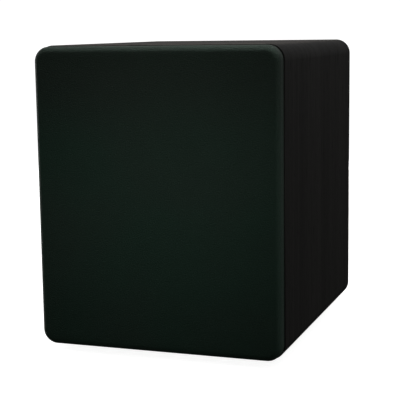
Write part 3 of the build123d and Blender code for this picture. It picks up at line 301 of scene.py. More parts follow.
def placeCamera():
    middle = boxOf("cabinet_shell")[2]
    turn, rise, roll = (math.radians(camera[name]) for name in ("azimuth", "elevation", "roll"))
    back = Vector((math.sin(turn) * math.cos(rise), -math.cos(turn) * math.cos(rise), math.sin(rise)))
    level = Vector((math.cos(turn), math.sin(turn), 0))
    upright = back.cross(level)
    right = math.cos(roll) * level + math.sin(roll) * upright
    up = math.cos(roll) * upright - math.sin(roll) * level
    stand = middle + back * camera["distance"] + right * camera["across"] + up * camera["above"]
    made = newObject("camera", bpy.data.cameras.new("camera"))
    made.data.lens = camera["lens"]
    made.data.sensor_width = camera["sensor"]
    made.data.clip_start = camera["nearest"]
    made.data.clip_end = camera["farthest"]
    made.matrix_world = Matrix.Translation(stand) @ Matrix((right, up, back)).transposed().to_4x4()
    scene.camera = made


sky = {"zenith": 0.7, "horizon": 0.22, "ground": 0.04}     # brightness overhead, level and below

lights = {                                      # an area light faces the cabinet's middle
    "overBox": {"kind": "AREA", "place": (0.05, 0.0, 1.9), "power": 30.0, "size": 0.9},
    "backBox": {"kind": "AREA", "place": (-0.55, 2.0, 0.20), "power": 55.0, "size": 0.36},
    "sideBox": {"kind": "AREA", "place": (1.6, 0.3, 0.12), "power": 6.2, "size": 0.5},
    "leftBox": {"kind": "AREA", "place": (-1.9, 0.40, 0.20), "power": 6.5, "size": 0.34},
    "frontSpot": {"kind": "SPOT", "place": (0.30, -1.7, 0.62), "power": 47.0, "size": 0.12,
                  "aim": (0.005, -0.2, 0.238), "cone": 19.0},
}

paper = {
    "tone": grey(0.45),
    "mottle": 0.97,
    "patches": 40.0,
    "roughness": 0.9,
    "gloss": 0.0,
    "glow": 0.91,
    "reach": 9.0,
    "bend": 2.5,
    "height": 6.0,
    "bendSteps": 8,
    "sides": 64,
}


def hangLight(name, kind, place, power, size, aim=None, cone=None):
    made = newObject(name, bpy.data.lights.new(name, kind))
    made.data.energy = power
    if kind == "AREA":
        made.data.shape = "DISK"
        made.data.size = size
    else:
        made.data.spot_size = math.radians(cone)
        made.data.spot_blend = 1.0
        made.data.shadow_soft_size = size
    made.location = place
    made.visible_camera = False
    target = Vector(aim or (0, 0, cadHigh.z / 2))
    made.rotation_euler = (target - Vector(place)).to_track_quat("-Z", "Y").to_euler()


def paintSky():
    scene.world = bpy.data.worlds.new("softSky")
    scene.world.use_nodes = True
    dome = NodeTree(scene.world.node_tree)
    dome.tree.nodes.clear()
    height = dome.split(dome.node("ShaderNodeTexCoord", {}, {}, "Generated"))[2]
    rise = dome.node("ShaderNodeMapRange", {}, {"Value": height, "From Min": 0.0, "From Max": 1.0,
                                                "To Min": sky["horizon"], "To Max": sky["zenith"]})
    below = dome.maths("LESS_THAN", height, 0.0)
    level = rise * (1 - below) + below * sky["ground"]
    light = dome.node("ShaderNodeBackground", {}, {"Color": grey(1), "Strength": level})
    dome.end("ShaderNodeOutputWorld", light, "Surface")


def unrollPaper():                              # floor that curves up into a wall all round
    sheet = Finish("palePaper", paper)
    patches = sheet.noise(paper["patches"], 3.0)
    colour = sheet.blend(patches, paper["tone"], shade(paper["tone"], paper["mottle"]))
    pale = sheet.surface(colour, varying={"Emission Color": grey(1)})
    flat, bend, around = paper["reach"] - paper["bend"], paper["bend"], paper["sides"]
    profile = [(flat, 0)]
    for step in range(1, paper["bendSteps"] + 1):
        angle = math.pi / 2 * step / paper["bendSteps"]
        profile.append((flat + bend * math.sin(angle), bend * (1 - math.cos(angle))))
    profile.append((paper["reach"], paper["height"]))
    points = [(0, 0, 0)]
    for radius, rise in profile:
        for index in range(around):
            angle = 2 * math.pi * index / around
            points.append((radius * math.cos(angle), radius * math.sin(angle), rise))
    faces = [(0, 1 + index, 1 + (index + 1) % around) for index in range(around)]
    for ring in range(len(profile) - 1):
        for index in range(around):
            first, second = 1 + ring * around + index, 1 + ring * around + (index + 1) % around
            faces.append((first, first + around, second + around, second))
    paperRoll = meshPiece("paperFloor", points, faces, pale)
    smooth(paperRoll)
    paperRoll.visible_diffuse = False
    paperRoll.visible_glossy = False


def lightStudio():
    scene.view_settings.view_transform = "Standard"
    paintSky()
    unrollPaper()
    for name, sizes in lights.items():
        hangLight(name, **sizes)


placeCamera()
print("camera placed")


# Finishes: a noise's value in a dictionary is roughly its grains to the metre

vinyl = {
    "colour": paint(0.0122, 0.0117, 0.0108),
    "corner": 0.31,                             # painted shade round the top corners: how much of the colour is left there
    "cornerShadeZone": (0.024, 0.008),               # where a zone starts and is full, below the top
    "paintedTopSheen": paint(0.0190, 0.0162, 0.0142),  # painted reflection: the flat top made lighter and browner
    "paintedTopZone": (0.003, 0.0002),
    # painted highlight along the top arris, partly wear: the rubbed edge's colour, zone and width
    "wornEdgeHighlight": paint(0.12, 0.112, 0.102),
    "wornHighlightZone": (0.012, 0.002),
    "edgeWidth": 0.0014,
    "shadow": 0.62,
    "bands": 13.0,
    "lines": 210.0,
    "pores": 900.0,
    "rubs": 60.0,
    "along": 0.010,                             # how slowly the grain changes along its run
    "poreAlong": 0.05,
    "waves": 5.0,
    "waver": 0.0035,
    "clouds": 25.0,
    "roughness": 0.5,
    "gloss": 0.04,
    "depth": 0.00012,
}


def woodgrainVinyl():
    skin = Finish("woodgrainVinyl", vinyl)
    x, y, z = skin.split(skin.place)
    below = boxOf("cabinet_shell")[1].z - z
    drift = skin.noise(vinyl["waves"], 1.0) * vinyl["waver"]
    run, short = (skin.vector(x * slow, y + drift, z * slow) for slow in (vinyl["along"], vinyl["poreAlong"]))
    bands = skin.step(skin.noise(vinyl["bands"], 2.0, 0.6, run), 0.38, 0.62)
    lines = skin.step(skin.noise(vinyl["lines"], 3.0, 0.7, run), 0.36, 0.66)
    pores = skin.step(skin.noise(vinyl["pores"], 1.0, 0.5, short), 0.42, 0.30)
    # painted highlight, partly wear: lighter rubbed patches along the top edges only
    rubbedHighlight = skin.step(skin.noise(vinyl["rubs"], 3.0), 0.25, 0.5) * skin.step(below, *vinyl["wornHighlightZone"])
    worn = skin.edge("cabinet_shell", vinyl["edgeWidth"]) * rubbedHighlight
    tone = vinyl["shadow"] + (1 - vinyl["shadow"]) * (bands * 0.55 + lines * 0.45)
    # painted shade: the colour darkens in a band round the rounded top corners
    colour = skin.blend(skin.step(below, *vinyl["cornerShadeZone"]), vinyl["colour"],
                        shade(vinyl["colour"], vinyl["corner"]))
    # painted reflection: the flat top lighter and browner than the sides
    colour = skin.blend(skin.step(below, *vinyl["paintedTopZone"]), colour, vinyl["paintedTopSheen"])
    colour = skin.blend(tone, grey(0), colour)
    colour = skin.blend(pores * 0.5, colour, shade(vinyl["colour"], 0.4))
    # painted highlight and wear on the top edges
    colour = skin.blend(worn * 0.6, colour, vinyl["wornEdgeHighlight"])
    rougher = pores * 0.15 - lines * 0.05 + skin.noise(vinyl["clouds"], 3.0) * 0.08
    return skin.surface(colour, rougher, lines * 0.5 - pores)


cloth = {
    "colour": paint(0.0080, 0.0171, 0.0120),
    "brown": paint(0.0115, 0.0155, 0.0125),
    "topLightTint": paint(0.0125, 0.0072, 0.0080),     # painted tint of the light, less green, towards the top
    "paintedTopZone": (0.06, 0.165),                 # above the middle
    # painted glints on single threads: the colour of the bright specks
    "dust": paint(0.075, 0.112, 0.092),
    "hole": paint(0.001, 0.0013, 0.0012),
    "pitch": 0.0011,                            # one thread to the next
    "patches": 5.5,
    "clouds": 24.0,
    "fuzz": 560.0,
    "roughness": 0.55,
    "gloss": 0.22,
    "tint": paint(0.50, 1.0, 0.73),
    "sheen": 0.005,
    "sheenRoughness": 0.5,
    "sheenTint": paint(0.75, 1.0, 0.88),
    "depth": 0.0006,
}


def grilleKnit():
    knit = Finish("grilleKnit", cloth)
    cut = knit.node("ShaderNodeUVMap", {"uv_map": "cut"}, {})
    u, v, unused = knit.split(cut)
    across, up = u / cloth["pitch"], v / cloth["pitch"]
    weft = knit.size(knit.wave(up)) * (0.5 + 0.5 * knit.wave(across) * knit.wave(up))
    warp = knit.size(knit.wave(across)) * (0.5 - 0.5 * knit.wave(across) * knit.wave(up))
    thread = knit.greatest(weft, warp)
    holes = knit.step(thread, 0.45, 0.15)
    patches = knit.step(knit.noise(cloth["patches"], 2.0, 0.5, cut), 0.35, 0.65)
    clouds = knit.step(knit.noise(cloth["clouds"], 4.0, 0.65, cut), 0.3, 0.7)
    fuzz = knit.noise(cloth["fuzz"], 3.0, 0.7, cut)
    # painted glints: the brightest fuzz specks
    paintedGlints = knit.step(fuzz, 0.66, 0.76)
    colour = knit.blend(patches, cloth["brown"], cloth["colour"])
    # painted light: the cloth's colour tinted less green towards the top
    colour = knit.blend(knit.step(v, *cloth["paintedTopZone"]) * 0.8, colour, cloth["topLightTint"])
    colour = knit.blend(0.86 + 0.14 * clouds, grey(0), colour)
    colour = knit.blend(knit.step(fuzz, 0.25, 0.7), shade(cloth["colour"], 0.35), colour)
    # painted glints lighten the brightest specks of the cloth
    colour = knit.blend(paintedGlints * 0.45, colour, cloth["dust"])
    colour = knit.blend(holes * 0.6, colour, cloth["hole"])
    return knit.surface(colour, relief=thread * 0.4 + fuzz * 2.4)


mouldings = {
    "blackMoulding": {"colour": paint(0.0135, 0.0135, 0.014), "grain": 1500.0,
                      "roughness": 0.48, "gloss": 0.35, "depth": 0.00012},
    "glossMoulding": {"colour": paint(0.010, 0.010, 0.0105), "grain": 300.0,
                      "roughness": 0.16, "gloss": 0.5, "depth": 0.00001},
    "redMoulding": {"colour": paint(0.32, 0.012, 0.014), "grain": 400.0,
                    "roughness": 0.25, "gloss": 0.5, "depth": 0.00002},
}
anyMoulding = {"clouds": 18.0, "specks": 140.0, "dust": paint(0.10, 0.095, 0.09)}


def moulded(name):
    look = {**anyMoulding, **mouldings[name]}
    skin = Finish(name, look)
    grain = skin.cells(look["grain"])
    cloud = skin.noise(look["clouds"], 4.0, 0.6)
    dust = skin.step(skin.noise(look["specks"], 3.0, 0.7), 0.56, 0.78)
    tone = skin.blend(cloud, shade(look["colour"], 0.8), shade(look["colour"], 1.2))
    tone = skin.blend(dust * 0.25, tone, look["dust"])
    return skin.surface(tone, 0.1 * cloud + 0.08 * grain, grain)


knob = {
    "dark": paint(0.011, 0.011, 0.0115),
    "pale": paint(0.018, 0.018, 0.0185),
    "pointer": paint(0.62, 0.62, 0.60),
    "pointerHalf": 0.0005,                      # half its width
    "pointerStart": 0.0022,
    "pointerEnd": 0.0110,
    "pointerDepth": 0.0003,
    "blur": 0.0001,
    "grain": 1500.0,
    "handling": 60.0,
    "roughness": 0.42,
    "gloss": 0.35,
    "depth": 0.00012,
}


def knobMoulding(node):
    skin = Finish(node + "Moulding", knob)
    low, high, middle = boxOf(node)
    blur, inset = knob["blur"], knob["pointerDepth"]
    x, y, z = skin.split(skin.place)
    across, up, depth = skin.size(x - middle.x), z - middle.z, high.y - y
    line = skin.step(across, knob["pointerHalf"] + blur, knob["pointerHalf"])
    line = line * skin.step(up, knob["pointerStart"] - blur, knob["pointerStart"])
    line = line * skin.step(up, knob["pointerEnd"] + blur, knob["pointerEnd"])
    line = line * skin.step(depth, inset - blur, inset) * skin.step(depth, 4 * inset, 3 * inset)
    handled = skin.noise(knob["handling"], 4.0, 0.6)
    tone = skin.blend(line, skin.mottled(handled), knob["pointer"])
    return skin.surface(tone, 0.15 * handled, skin.cells(knob["grain"]))


metals = {                                      # brushed: how fast the lines change each way
    "zincSteel": {"colour": paint(0.56, 0.56, 0.54), "brushed": (4.0, 4.0, 900.0),
                  "roughness": 0.3, "depth": 0.00004},
    "finAluminium": {"colour": paint(0.022, 0.022, 0.024), "brushed": (4.0, 300.0, 4.0),
                     "roughness": 0.38, "depth": 0.00004},
    "brightNickel": {"colour": paint(0.68, 0.65, 0.58), "brushed": (500.0, 6.0, 500.0),
                     "roughness": 0.14, "depth": 0.00001},
    "pinBrass": {"colour": paint(0.66, 0.48, 0.18), "brushed": (300.0, 8.0, 300.0),
                 "roughness": 0.24, "depth": 0.00002},
}
anyMetal = {"metal": 1.0, "stains": 30.0}


def sheetMetal(name):
    look = {**anyMetal, **metals[name]}
    skin = Finish(name, look)
    lines = skin.noise(1.0, 3.0, 0.6, skin.stretched(look["brushed"]))
    stain = skin.noise(look["stains"], 4.0, 0.6)
    tone = skin.blend(stain, shade(look["colour"], 0.82), look["colour"])
    tone = skin.blend(skin.step(lines, 0.3, 0.7) * 0.3, tone, shade(look["colour"], 0.65))
    return skin.surface(tone, 0.12 * lines + 0.1 * stain, lines)


blackBoard = {"dark": grey(0.009), "pale": paint(0.018, 0.0175, 0.017), "fibres": (260.0, 260.0, 90.0),
              "roller": 420.0, "roughness": 0.62, "gloss": 0.25, "depth": 0.00018}


def paintedBoard():
    skin = Finish("paintedBoard", blackBoard)
    fibres = skin.noise(1.0, 4.0, 0.65, skin.stretched(blackBoard["fibres"]))
    roller = skin.noise(blackBoard["roller"], 2.0, 0.5)
    return skin.surface(skin.mottled(fibres), 0.15 * roller, roller + fibres * 0.4)


rawBoard = {"dark": paint(0.30, 0.205, 0.125), "pale": paint(0.52, 0.39, 0.26),
            "fleck": paint(0.16, 0.10, 0.06), "flecks": 300.0, "fleckRun": (1.0, 3.0, 0.5),
            "fibres": (420.0, 160.0, 420.0), "roughness": 0.78, "gloss": 0.2, "depth": 0.0002}


def bareBoard():
    skin = Finish("bareBoard", rawBoard)
    fibres = skin.noise(1.0, 5.0, 0.7, skin.stretched(rawBoard["fibres"]))
    flecks = skin.step(skin.cells(rawBoard["flecks"], skin.stretched(rawBoard["fleckRun"])), 0.25, 0.05)
    tone = skin.blend(flecks * 0.5, skin.mottled(fibres), rawBoard["fleck"])
    return skin.surface(tone, 0.15 * fibres, fibres - flecks * 0.5)


felt = {"dark": paint(0.02, 0.02, 0.021), "pale": paint(0.12, 0.12, 0.125), "tuft": paint(0.2, 0.2, 0.205),
        "tangle": 380.0, "tufts": 60.0, "roughness": 0.95, "gloss": 0.1, "sheen": 0.15, "depth": 0.0009}


def liningFelt():
    skin = Finish("liningFelt", felt)
    tangle = skin.noise(felt["tangle"], 5.0, 0.75)
    tufts = skin.noise(felt["tufts"], 4.0, 0.6)
    tone = skin.blend(skin.step(tufts, 0.5, 0.8) * 0.4, skin.mottled(tangle), felt["tuft"])
    return skin.surface(tone, 0.0, tangle + tufts)


rubbers = {
    "footRubber": {"roughness": 0.6, "gloss": 0.25},
    "rollRubber": {"roughness": 0.42, "gloss": 0.4},
}
anyRubber = {"dark": paint(0.009, 0.009, 0.0092), "pale": paint(0.017, 0.017, 0.0172),
             "bloom": paint(0.045, 0.045, 0.046), "stipple": 700.0, "blooms": 35.0, "depth": 0.00008}


def rubber(name):
    look = {**anyRubber, **rubbers[name]}
    skin = Finish(name, look)
    stipple = skin.noise(look["stipple"], 2.0, 0.5)
    bloom = skin.step(skin.noise(look["blooms"], 4.0, 0.65), 0.45, 0.8)
    tone = skin.blend(bloom * 0.4, skin.mottled(stipple), look["bloom"])
    return skin.surface(tone, 0.15 * bloom, stipple)


foam = {"dark": grey(0.004), "pale": grey(0.04), "cells": 1300.0,
        "roughness": 0.9, "gloss": 0.1, "depth": 0.0003}


def cellFoam():
    skin = Finish("cellFoam", foam)
    cells = skin.cells(foam["cells"])
    return skin.surface(skin.mottled(cells), 0.0, cells)


coating = {
    "dark": paint(0.011, 0.011, 0.0115),
    "pale": paint(0.019, 0.019, 0.02),
    "scuff": grey(0.06),
    "chip": grey(0.25),
    "peel": 620.0,
    "clouds": 14.0,
    "scuffs": (30.0, 30.0, 240.0),
    "chips": 180.0,
    "chipReach": 0.0012,
    "roughness": 0.42,
    "gloss": 0.35,
    "depth": 0.00012,
}


def powderCoat(name, chippedNode=None):
    skin = Finish(name, coating)
    peel = skin.noise(coating["peel"], 2.0, 0.5)
    cloud = skin.noise(coating["clouds"], 4.0, 0.6)
    scuff = skin.step(skin.noise(1.0, 4.0, 0.7, skin.stretched(coating["scuffs"])), 0.62, 0.72)
    tone = skin.blend(scuff * 0.3, skin.mottled(cloud), coating["scuff"])
    if chippedNode:
        chips = skin.step(skin.noise(coating["chips"], 2.0), 0.52, 0.62)
        chips = skin.edge(chippedNode, coating["chipReach"]) * chips
        tone = skin.blend(chips * 0.7, tone, coating["chip"])
    return skin.surface(tone, 0.2 * peel - 0.1 * scuff, peel)


screwSteel = {"dark": paint(0.018, 0.018, 0.019), "pale": paint(0.13, 0.125, 0.12), "wear": 900.0,
              "metal": 0.6, "roughness": 0.36, "depth": 0.00005}


def blackenedScrew():
    skin = Finish("blackenedScrew", screwSteel)
    worn = skin.step(skin.noise(screwSteel["wear"], 3.0, 0.6), 0.55, 0.75)
    return skin.surface(skin.mottled(worn * 0.5), 0.2 * worn, worn)


pulp = {"dark": paint(0.006, 0.006, 0.007), "pale": paint(0.03, 0.03, 0.032),
        "clump": paint(0.045, 0.045, 0.047), "fibres": 420.0, "clumps": 70.0,
        "roughness": 0.62, "gloss": 0.25, "depth": 0.00035}


def pulpPaper():
    skin = Finish("pulpPaper", pulp)
    fibres = skin.noise(pulp["fibres"], 5.0, 0.75)
    clumps = skin.noise(pulp["clumps"], 3.0, 0.6)
    tone = skin.blend(skin.step(clumps, 0.5, 0.8) * 0.35, skin.mottled(fibres), pulp["clump"])
    return skin.surface(tone, 0.25 * fibres, fibres + clumps * 0.6)


copper = {"dark": paint(0.22, 0.07, 0.02), "pale": paint(0.78, 0.36, 0.17), "turns": 2200.0, "tarnish": 300.0,
          "metal": 0.9, "coat": 0.3, "roughness": 0.25, "depth": 0.0002}


def copperCoil():
    skin = Finish("copperCoil", copper)
    x, y, z = skin.split(skin.place)
    turns = skin.size(skin.wave(y * copper["turns"]))
    return skin.surface(skin.mottled(turns), 0.1 * skin.noise(copper["tarnish"]), turns)


spiderCloth = {"dark": paint(0.28, 0.17, 0.05), "pale": paint(0.62, 0.46, 0.2),
               "resin": paint(0.36, 0.22, 0.07), "threads": 1100.0, "stains": 45.0,
               "roughness": 0.5, "depth": 0.0002}


def dippedCloth():
    skin = Finish("dippedCloth", spiderCloth)
    x, y, z = skin.split(skin.place)
    warp, weft = (skin.size(skin.wave(way * spiderCloth["threads"])) for way in (x, z))
    resin = skin.noise(spiderCloth["stains"], 4.0, 0.6)
    tone = skin.blend(resin * 0.5, skin.mottled(skin.greatest(warp, weft)), spiderCloth["resin"])
    return skin.surface(tone, 0.25 * resin, warp * weft)


magnet = {"dark": paint(0.045, 0.045, 0.05), "pale": paint(0.10, 0.10, 0.105), "grit": 900.0, "smears": 30.0,
          "roughness": 0.55, "depth": 0.0001}


def sinteredFerrite():
    skin = Finish("sinteredFerrite", magnet)
    grit = skin.noise(magnet["grit"], 3.0, 0.6)
    smear = skin.noise(magnet["smears"], 4.0, 0.6)
    return skin.surface(skin.mottled(smear), 0.2 * grit, grit)


jackInserts = {"colours": (paint(0.42, 0.02, 0.02), paint(0.62, 0.61, 0.58), grey(0.012)), "blur": 0.001,
               "dust": paint(0.08, 0.075, 0.07), "clouds": 160.0, "roughness": 0.32, "depth": 0.00005}


def jackRings():
    skin = Finish("jackRings", jackInserts)
    low, high, middle = boxOf("jack_insulators")
    third, blur = (high.x - low.x) / 3, jackInserts["blur"]
    first, second, last = jackInserts["colours"]
    x, y, z = skin.split(skin.place)
    cloud = skin.noise(jackInserts["clouds"], 3.0)
    tone = skin.blend(skin.step(x, low.x + third - blur, low.x + third + blur), first, second)
    tone = skin.blend(skin.step(x, high.x - third - blur, high.x - third + blur), tone, last)
    tone = skin.blend(cloud * 0.3, tone, jackInserts["dust"])
    return skin.surface(tone, 0.15 * cloud, cloud)


lamp = {"dark": paint(0.03, 0.35, 0.06), "pale": paint(0.1, 0.7, 0.16), "ribs": 1500.0,
        "glow": 0.35, "coat": 0.5, "roughness": 0.15, "depth": 0.00008}


def lampLens():
    skin = Finish("lampLens", lamp)
    ribs = skin.cells(lamp["ribs"])
    tone = skin.mottled(ribs)
    return skin.surface(tone, 0.1 * ribs, ribs, {"Emission Color": tone})


circuit = {"dark": paint(0.012, 0.09, 0.035), "pale": paint(0.03, 0.2, 0.08), "glass": paint(0.1, 0.25, 0.1),
           "tracks": (110.0, 60.0, 110.0), "weave": 900.0, "roughness": 0.3, "depth": 0.00008}


def circuitBoard():
    skin = Finish("circuitBoard", circuit)
    x, y, z = skin.split(skin.place)
    tracks = skin.cells(1.0, skin.stretched(circuit["tracks"]), "DISTANCE_TO_EDGE")
    copperShare = skin.step(tracks, 0.10, 0.07)
    weave = skin.size(skin.wave(x * circuit["weave"])) * skin.size(skin.wave(z * circuit["weave"]))
    tone = skin.blend(weave * 0.15, skin.mottled(copperShare), circuit["glass"])
    return skin.surface(tone, 0.2 * weave, copperShare * 0.6 + weave * 0.2)


sleeving = {"dark": paint(0.008, 0.012, 0.035), "pale": paint(0.02, 0.03, 0.08), "tip": grey(0.5),
            "tipZone": (0.0012, 0.0006), "wrinkles": (120.0, 900.0, 120.0),
            "roughness": 0.3, "depth": 0.00006}


def capacitorSleeve():
    skin = Finish("capacitorSleeve", sleeving)
    x, y, z = skin.split(skin.place)
    shrink = skin.noise(1.0, 2.0, 0.5, skin.stretched(sleeving["wrinkles"]))
    tip = skin.step(y - boxOf("filter_capacitors")[0].y, *sleeving["tipZone"])
    tone = skin.blend(tip, skin.mottled(shrink), sleeving["tip"])
    return skin.surface(tone, 0.1 * shrink, shrink, {"Metallic": tip * 0.9})


winding = {"dark": paint(0.30, 0.17, 0.02), "pale": paint(0.62, 0.42, 0.07), "gap": paint(0.12, 0.06, 0.01),
           "laps": 9.0, "wrinkles": 160.0, "coat": 0.2, "roughness": 0.28, "depth": 0.0005}


def tapedWinding():
    skin = Finish("tapedWinding", winding)
    middle = boxOf("toroid")[2]
    x, y, z = skin.split(skin.place)
    angle = skin.maths("ARCTAN2", z - middle.z, x - middle.x)
    laps = skin.size(skin.wave(angle * winding["laps"]))
    wrinkle = skin.noise(winding["wrinkles"], 4.0, 0.6)
    tone = skin.blend(skin.step(laps, 0.12, 0.0), skin.mottled(laps), winding["gap"])
    return skin.surface(tone, 0.2 * wrinkle, laps ** 0.3 + wrinkle * 0.3)


fuseGlass = {"glass": paint(0.82, 0.86, 0.86), "cap": paint(0.7, 0.68, 0.62), "clear": 0.35,
             "capShare": (0.68, 0.72), "scratches": 600.0, "roughness": 0.08, "depth": 0.00002}


def clearFuse():
    skin = Finish("clearFuse", fuseGlass)
    low, high, middle = boxOf("fuse")
    half = (high.y - low.y) / 2
    x, y, z = skin.split(skin.place)
    cap = skin.step(skin.size(y - middle.y), *(half * share for share in fuseGlass["capShare"]))
    scratch = skin.noise(fuseGlass["scratches"], 3.0)
    tone = skin.blend(cap, fuseGlass["glass"], fuseGlass["cap"])
    alpha = fuseGlass["clear"] + (1 - fuseGlass["clear"]) * cap
    return skin.surface(tone, 0.2 * scratch * cap, scratch, {"Metallic": cap, "Alpha": alpha})


leadCover = {"first": paint(0.24, 0.012, 0.012), "second": grey(0.014), "scuff": paint(0.06, 0.05, 0.05),
             "blur": 0.0005, "scuffs": 260.0, "roughness": 0.4, "depth": 0.00006}


def leadJacket():
    skin = Finish("leadJacket", leadCover)
    x, y, z = skin.split(skin.place)
    middle, blur = boxOf("speaker_leads")[2].x, leadCover["blur"]
    scuff = skin.noise(leadCover["scuffs"], 3.0)
    tone = skin.blend(skin.step(x, middle - blur, middle + blur), leadCover["first"], leadCover["second"])
    tone = skin.blend(scuff * 0.25, tone, leadCover["scuff"])
    return skin.surface(tone, 0.15 * scuff, scuff)


def finishNodes():
    made = {
        "woodgrain_vinyl": woodgrainVinyl(),
        "black_board": paintedBoard(),
        "raw_board": bareBoard(),
        "grille_fabric": grilleKnit(),
        "black_moulding": moulded("blackMoulding"),
        "gloss_moulding": moulded("glossMoulding"),
        "red_moulding": moulded("redMoulding"),
        "black_felt": liningFelt(),
        "black_rubber": rubber("footRubber"),
        "black_foam": cellFoam(),
        "painted_steel": powderCoat("paintedSteel"),
        "bright_steel": sheetMetal("zincSteel"),
        "black_screw": blackenedScrew(),
        "cone_paper": pulpPaper(),
        "coil_copper": copperCoil(),
        "spider_cloth": dippedCloth(),
        "ferrite": sinteredFerrite(),
        "fin_aluminium": sheetMetal("finAluminium"),
        "nickel": sheetMetal("brightNickel"),
        "pin_brass": sheetMetal("pinBrass"),
        "jack_insulator": jackRings(),
        "lamp_lens": lampLens(),
        "board_green": circuitBoard(),
        "capacitor_sleeve": capacitorSleeve(),
        "toroid_winding": tapedWinding(),
        "fuse_glass": clearFuse(),
        "lead_jacket": leadJacket(),
    }
    for piece in nodes.values():
        slot = piece.data.materials[0].name
        piece.data.materials[0] = made[slot]
    nodes["surround"].data.materials[0] = rubber("rollRubber")
    nodes["amp_plate"].data.materials[0] = powderCoat("platePaint", "amp_plate")
    for name in ("level_knob", "crossover_knob"):
        nodes[name].data.materials[0] = knobMoulding(name)
    return made


finishes = finishNodes()
print("finishes made:", len(finishes))


# Grille cloth: pulled over the frame, rolled round its edge and turned under onto its back

wrap = {
    "cornerRadius": 0.0196,
    "roll": 0.0085,
    "hem": 0.012,
    "thickness": 0.0007,
    "turnUnder": 0.001,
    "cell": 0.008,
    "cornerSteps": 12,
    "rollSteps": 9,
    "sideSteps": 3,
    "turnSteps": 3,
    "stapleIn": 0.7,                            # the staples' line, as a share of the hem
    "stapleLift": 0.0002,
}


def clothProfile(front, rear):
    # each ring's distance out from the inner rectangle, depth and distance along the cloth
    radius, roll = wrap["cornerRadius"], wrap["roll"]
    turnUnder, hem = wrap["turnUnder"], wrap["hem"]
    rings = [(0, front), ((radius - roll) / 2, front)]
    for step in range(wrap["rollSteps"] + 1):
        angle = math.pi / 2 * step / wrap["rollSteps"]
        rings.append((radius - roll + roll * math.sin(angle), front + roll * (1 - math.cos(angle))))
    rollEnd, sideEnd = front + roll, rear - turnUnder
    for step in range(1, wrap["sideSteps"] + 1):
        rings.append((radius, rollEnd + (sideEnd - rollEnd) * step / wrap["sideSteps"]))
    for step in range(1, wrap["turnSteps"] + 1):
        angle = math.pi / 2 * step / wrap["turnSteps"]
        rings.append((radius - turnUnder * (1 - math.cos(angle)), sideEnd + turnUnder * math.sin(angle)))
    rings += [(radius - hem / 2, rear), (radius - hem, rear)]
    profile, run = [], 0.0
    for index, (out, depth) in enumerate(rings):
        if index:
            run += math.dist((out, depth), rings[index - 1])
        profile.append((out, depth, run))
    return profile


def clothBorder(halfFlat, halfRise, columns, rows):
    # points all round the inner rectangle, seen from the front, each with its outward direction
    border = []
    sides = [((-halfFlat, -halfRise), (1, 0), columns, 2 * halfFlat / columns, -90),
             ((halfFlat, -halfRise), (0, 1), rows, 2 * halfRise / rows, 0),
             ((halfFlat, halfRise), (-1, 0), columns, 2 * halfFlat / columns, 90),
             ((-halfFlat, halfRise), (0, -1), rows, 2 * halfRise / rows, 180)]
    for (startX, startZ), (runX, runZ), count, gap, facing in sides:
        turns = [0] * (count + 1) + list(range(1, wrap["cornerSteps"]))
        for index, turn in enumerate(turns):
            along = gap * min(index, count)
            angle = math.radians(facing + 90 * turn / wrap["cornerSteps"])
            outward = (math.cos(angle), math.sin(angle))
            border.append(((startX + runX * along, startZ + runZ * along), outward))
    return border


def wrapGrille():
    low, high, middle = boxOf("grille_cloth")
    radius = wrap["cornerRadius"]
    halfFlat, halfRise = (high.x - low.x) / 2 - radius, (high.z - low.z) / 2 - radius
    columns, rows = (round(2 * half / wrap["cell"]) for half in (halfFlat, halfRise))
    profile = clothProfile(low.y, high.y + wrap["thickness"])
    border = clothBorder(halfFlat, halfRise, columns, rows)
    points, cuts, index = [], [], {}

    def point(key, x, y, z, cut):
        if key not in index:
            index[key] = len(points)
            points.append((middle.x + x, y, middle.z + z))
            cuts.append(cut)
        return index[key]

    def gridPoint(column, row):
        x = -halfFlat + 2 * halfFlat * column / columns
        z = -halfRise + 2 * halfRise * row / rows
        return point((round(x, 6), round(z, 6)), x, low.y, z, (x, z))

    def ringPoint(ring, place):
        out, depth, run = profile[ring]
        (x, z), (outX, outZ) = border[place % len(border)]
        if ring == 0:
            return point((round(x, 6), round(z, 6)), x, depth, z, (x, z))
        cut = (x + outX * run, z + outZ * run)
        return point((ring, place % len(border)), x + outX * out, depth, z + outZ * out, cut)

    faces = []
    for column in range(columns):
        for row in range(rows):
            faces.append((gridPoint(column, row), gridPoint(column + 1, row),
                          gridPoint(column + 1, row + 1), gridPoint(column, row + 1)))
    for ring in range(len(profile) - 1):
        for place in range(len(border)):
            face = [ringPoint(ring + 1, place), ringPoint(ring + 1, place + 1),
                    ringPoint(ring, place + 1), ringPoint(ring, place)]
            if face[2] == face[3]:
                face.pop()
            faces.append(tuple(face))
    piece = meshPiece("stretchedCloth", points, faces, finishes["grille_fabric"])
    layer = piece.data.uv_layers.new(name="cut")
    for loop in piece.data.loops:
        layer.data[loop.index].uv = cuts[loop.vertex_index]
    wall = piece.modifiers.new("thickness", "SOLIDIFY")
    wall.thickness = wrap["thickness"]
    wall.offset = -1
    plainMesh(piece)
    smooth(piece)
    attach(piece, "grille")
    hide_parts("grille_cloth")
    run = profile[-1][2]
    flat = (2 * (halfFlat + run), 2 * (halfRise + run))
    cutArea = flat[0] * flat[1] - (4 - math.pi) * run ** 2
    print("cloth wrapped, cut", [round(side, 4) for side in flat])
    return middle, halfFlat + radius, halfRise + radius, high.y


clothMiddle, clothHalf, clothRise, clothRear = wrapGrille()


# Staples that hold the hem to the frame's back

stapleInset = wrap["stapleIn"] * wrap["hem"]
stapleDepth = clothRear + wrap["thickness"] + wrap["stapleLift"]
hemStaples = {
    "Width": 2 * (clothHalf - stapleInset),
    "Height": 2 * (clothRise - stapleInset),
    "Corner": wrap["cornerRadius"] - stapleInset,
    "Corner Points": 8,
    "Spacing": 0.034,
    "Crown": (0.0095, 0.0011, 0.00055),
    "Crown Points": 5,
    "Bend": 0.00028,
    "Seed": 4,
    "Stray": 0.12,
    "Place": (clothMiddle.x, stapleDepth, clothMiddle.z),
}


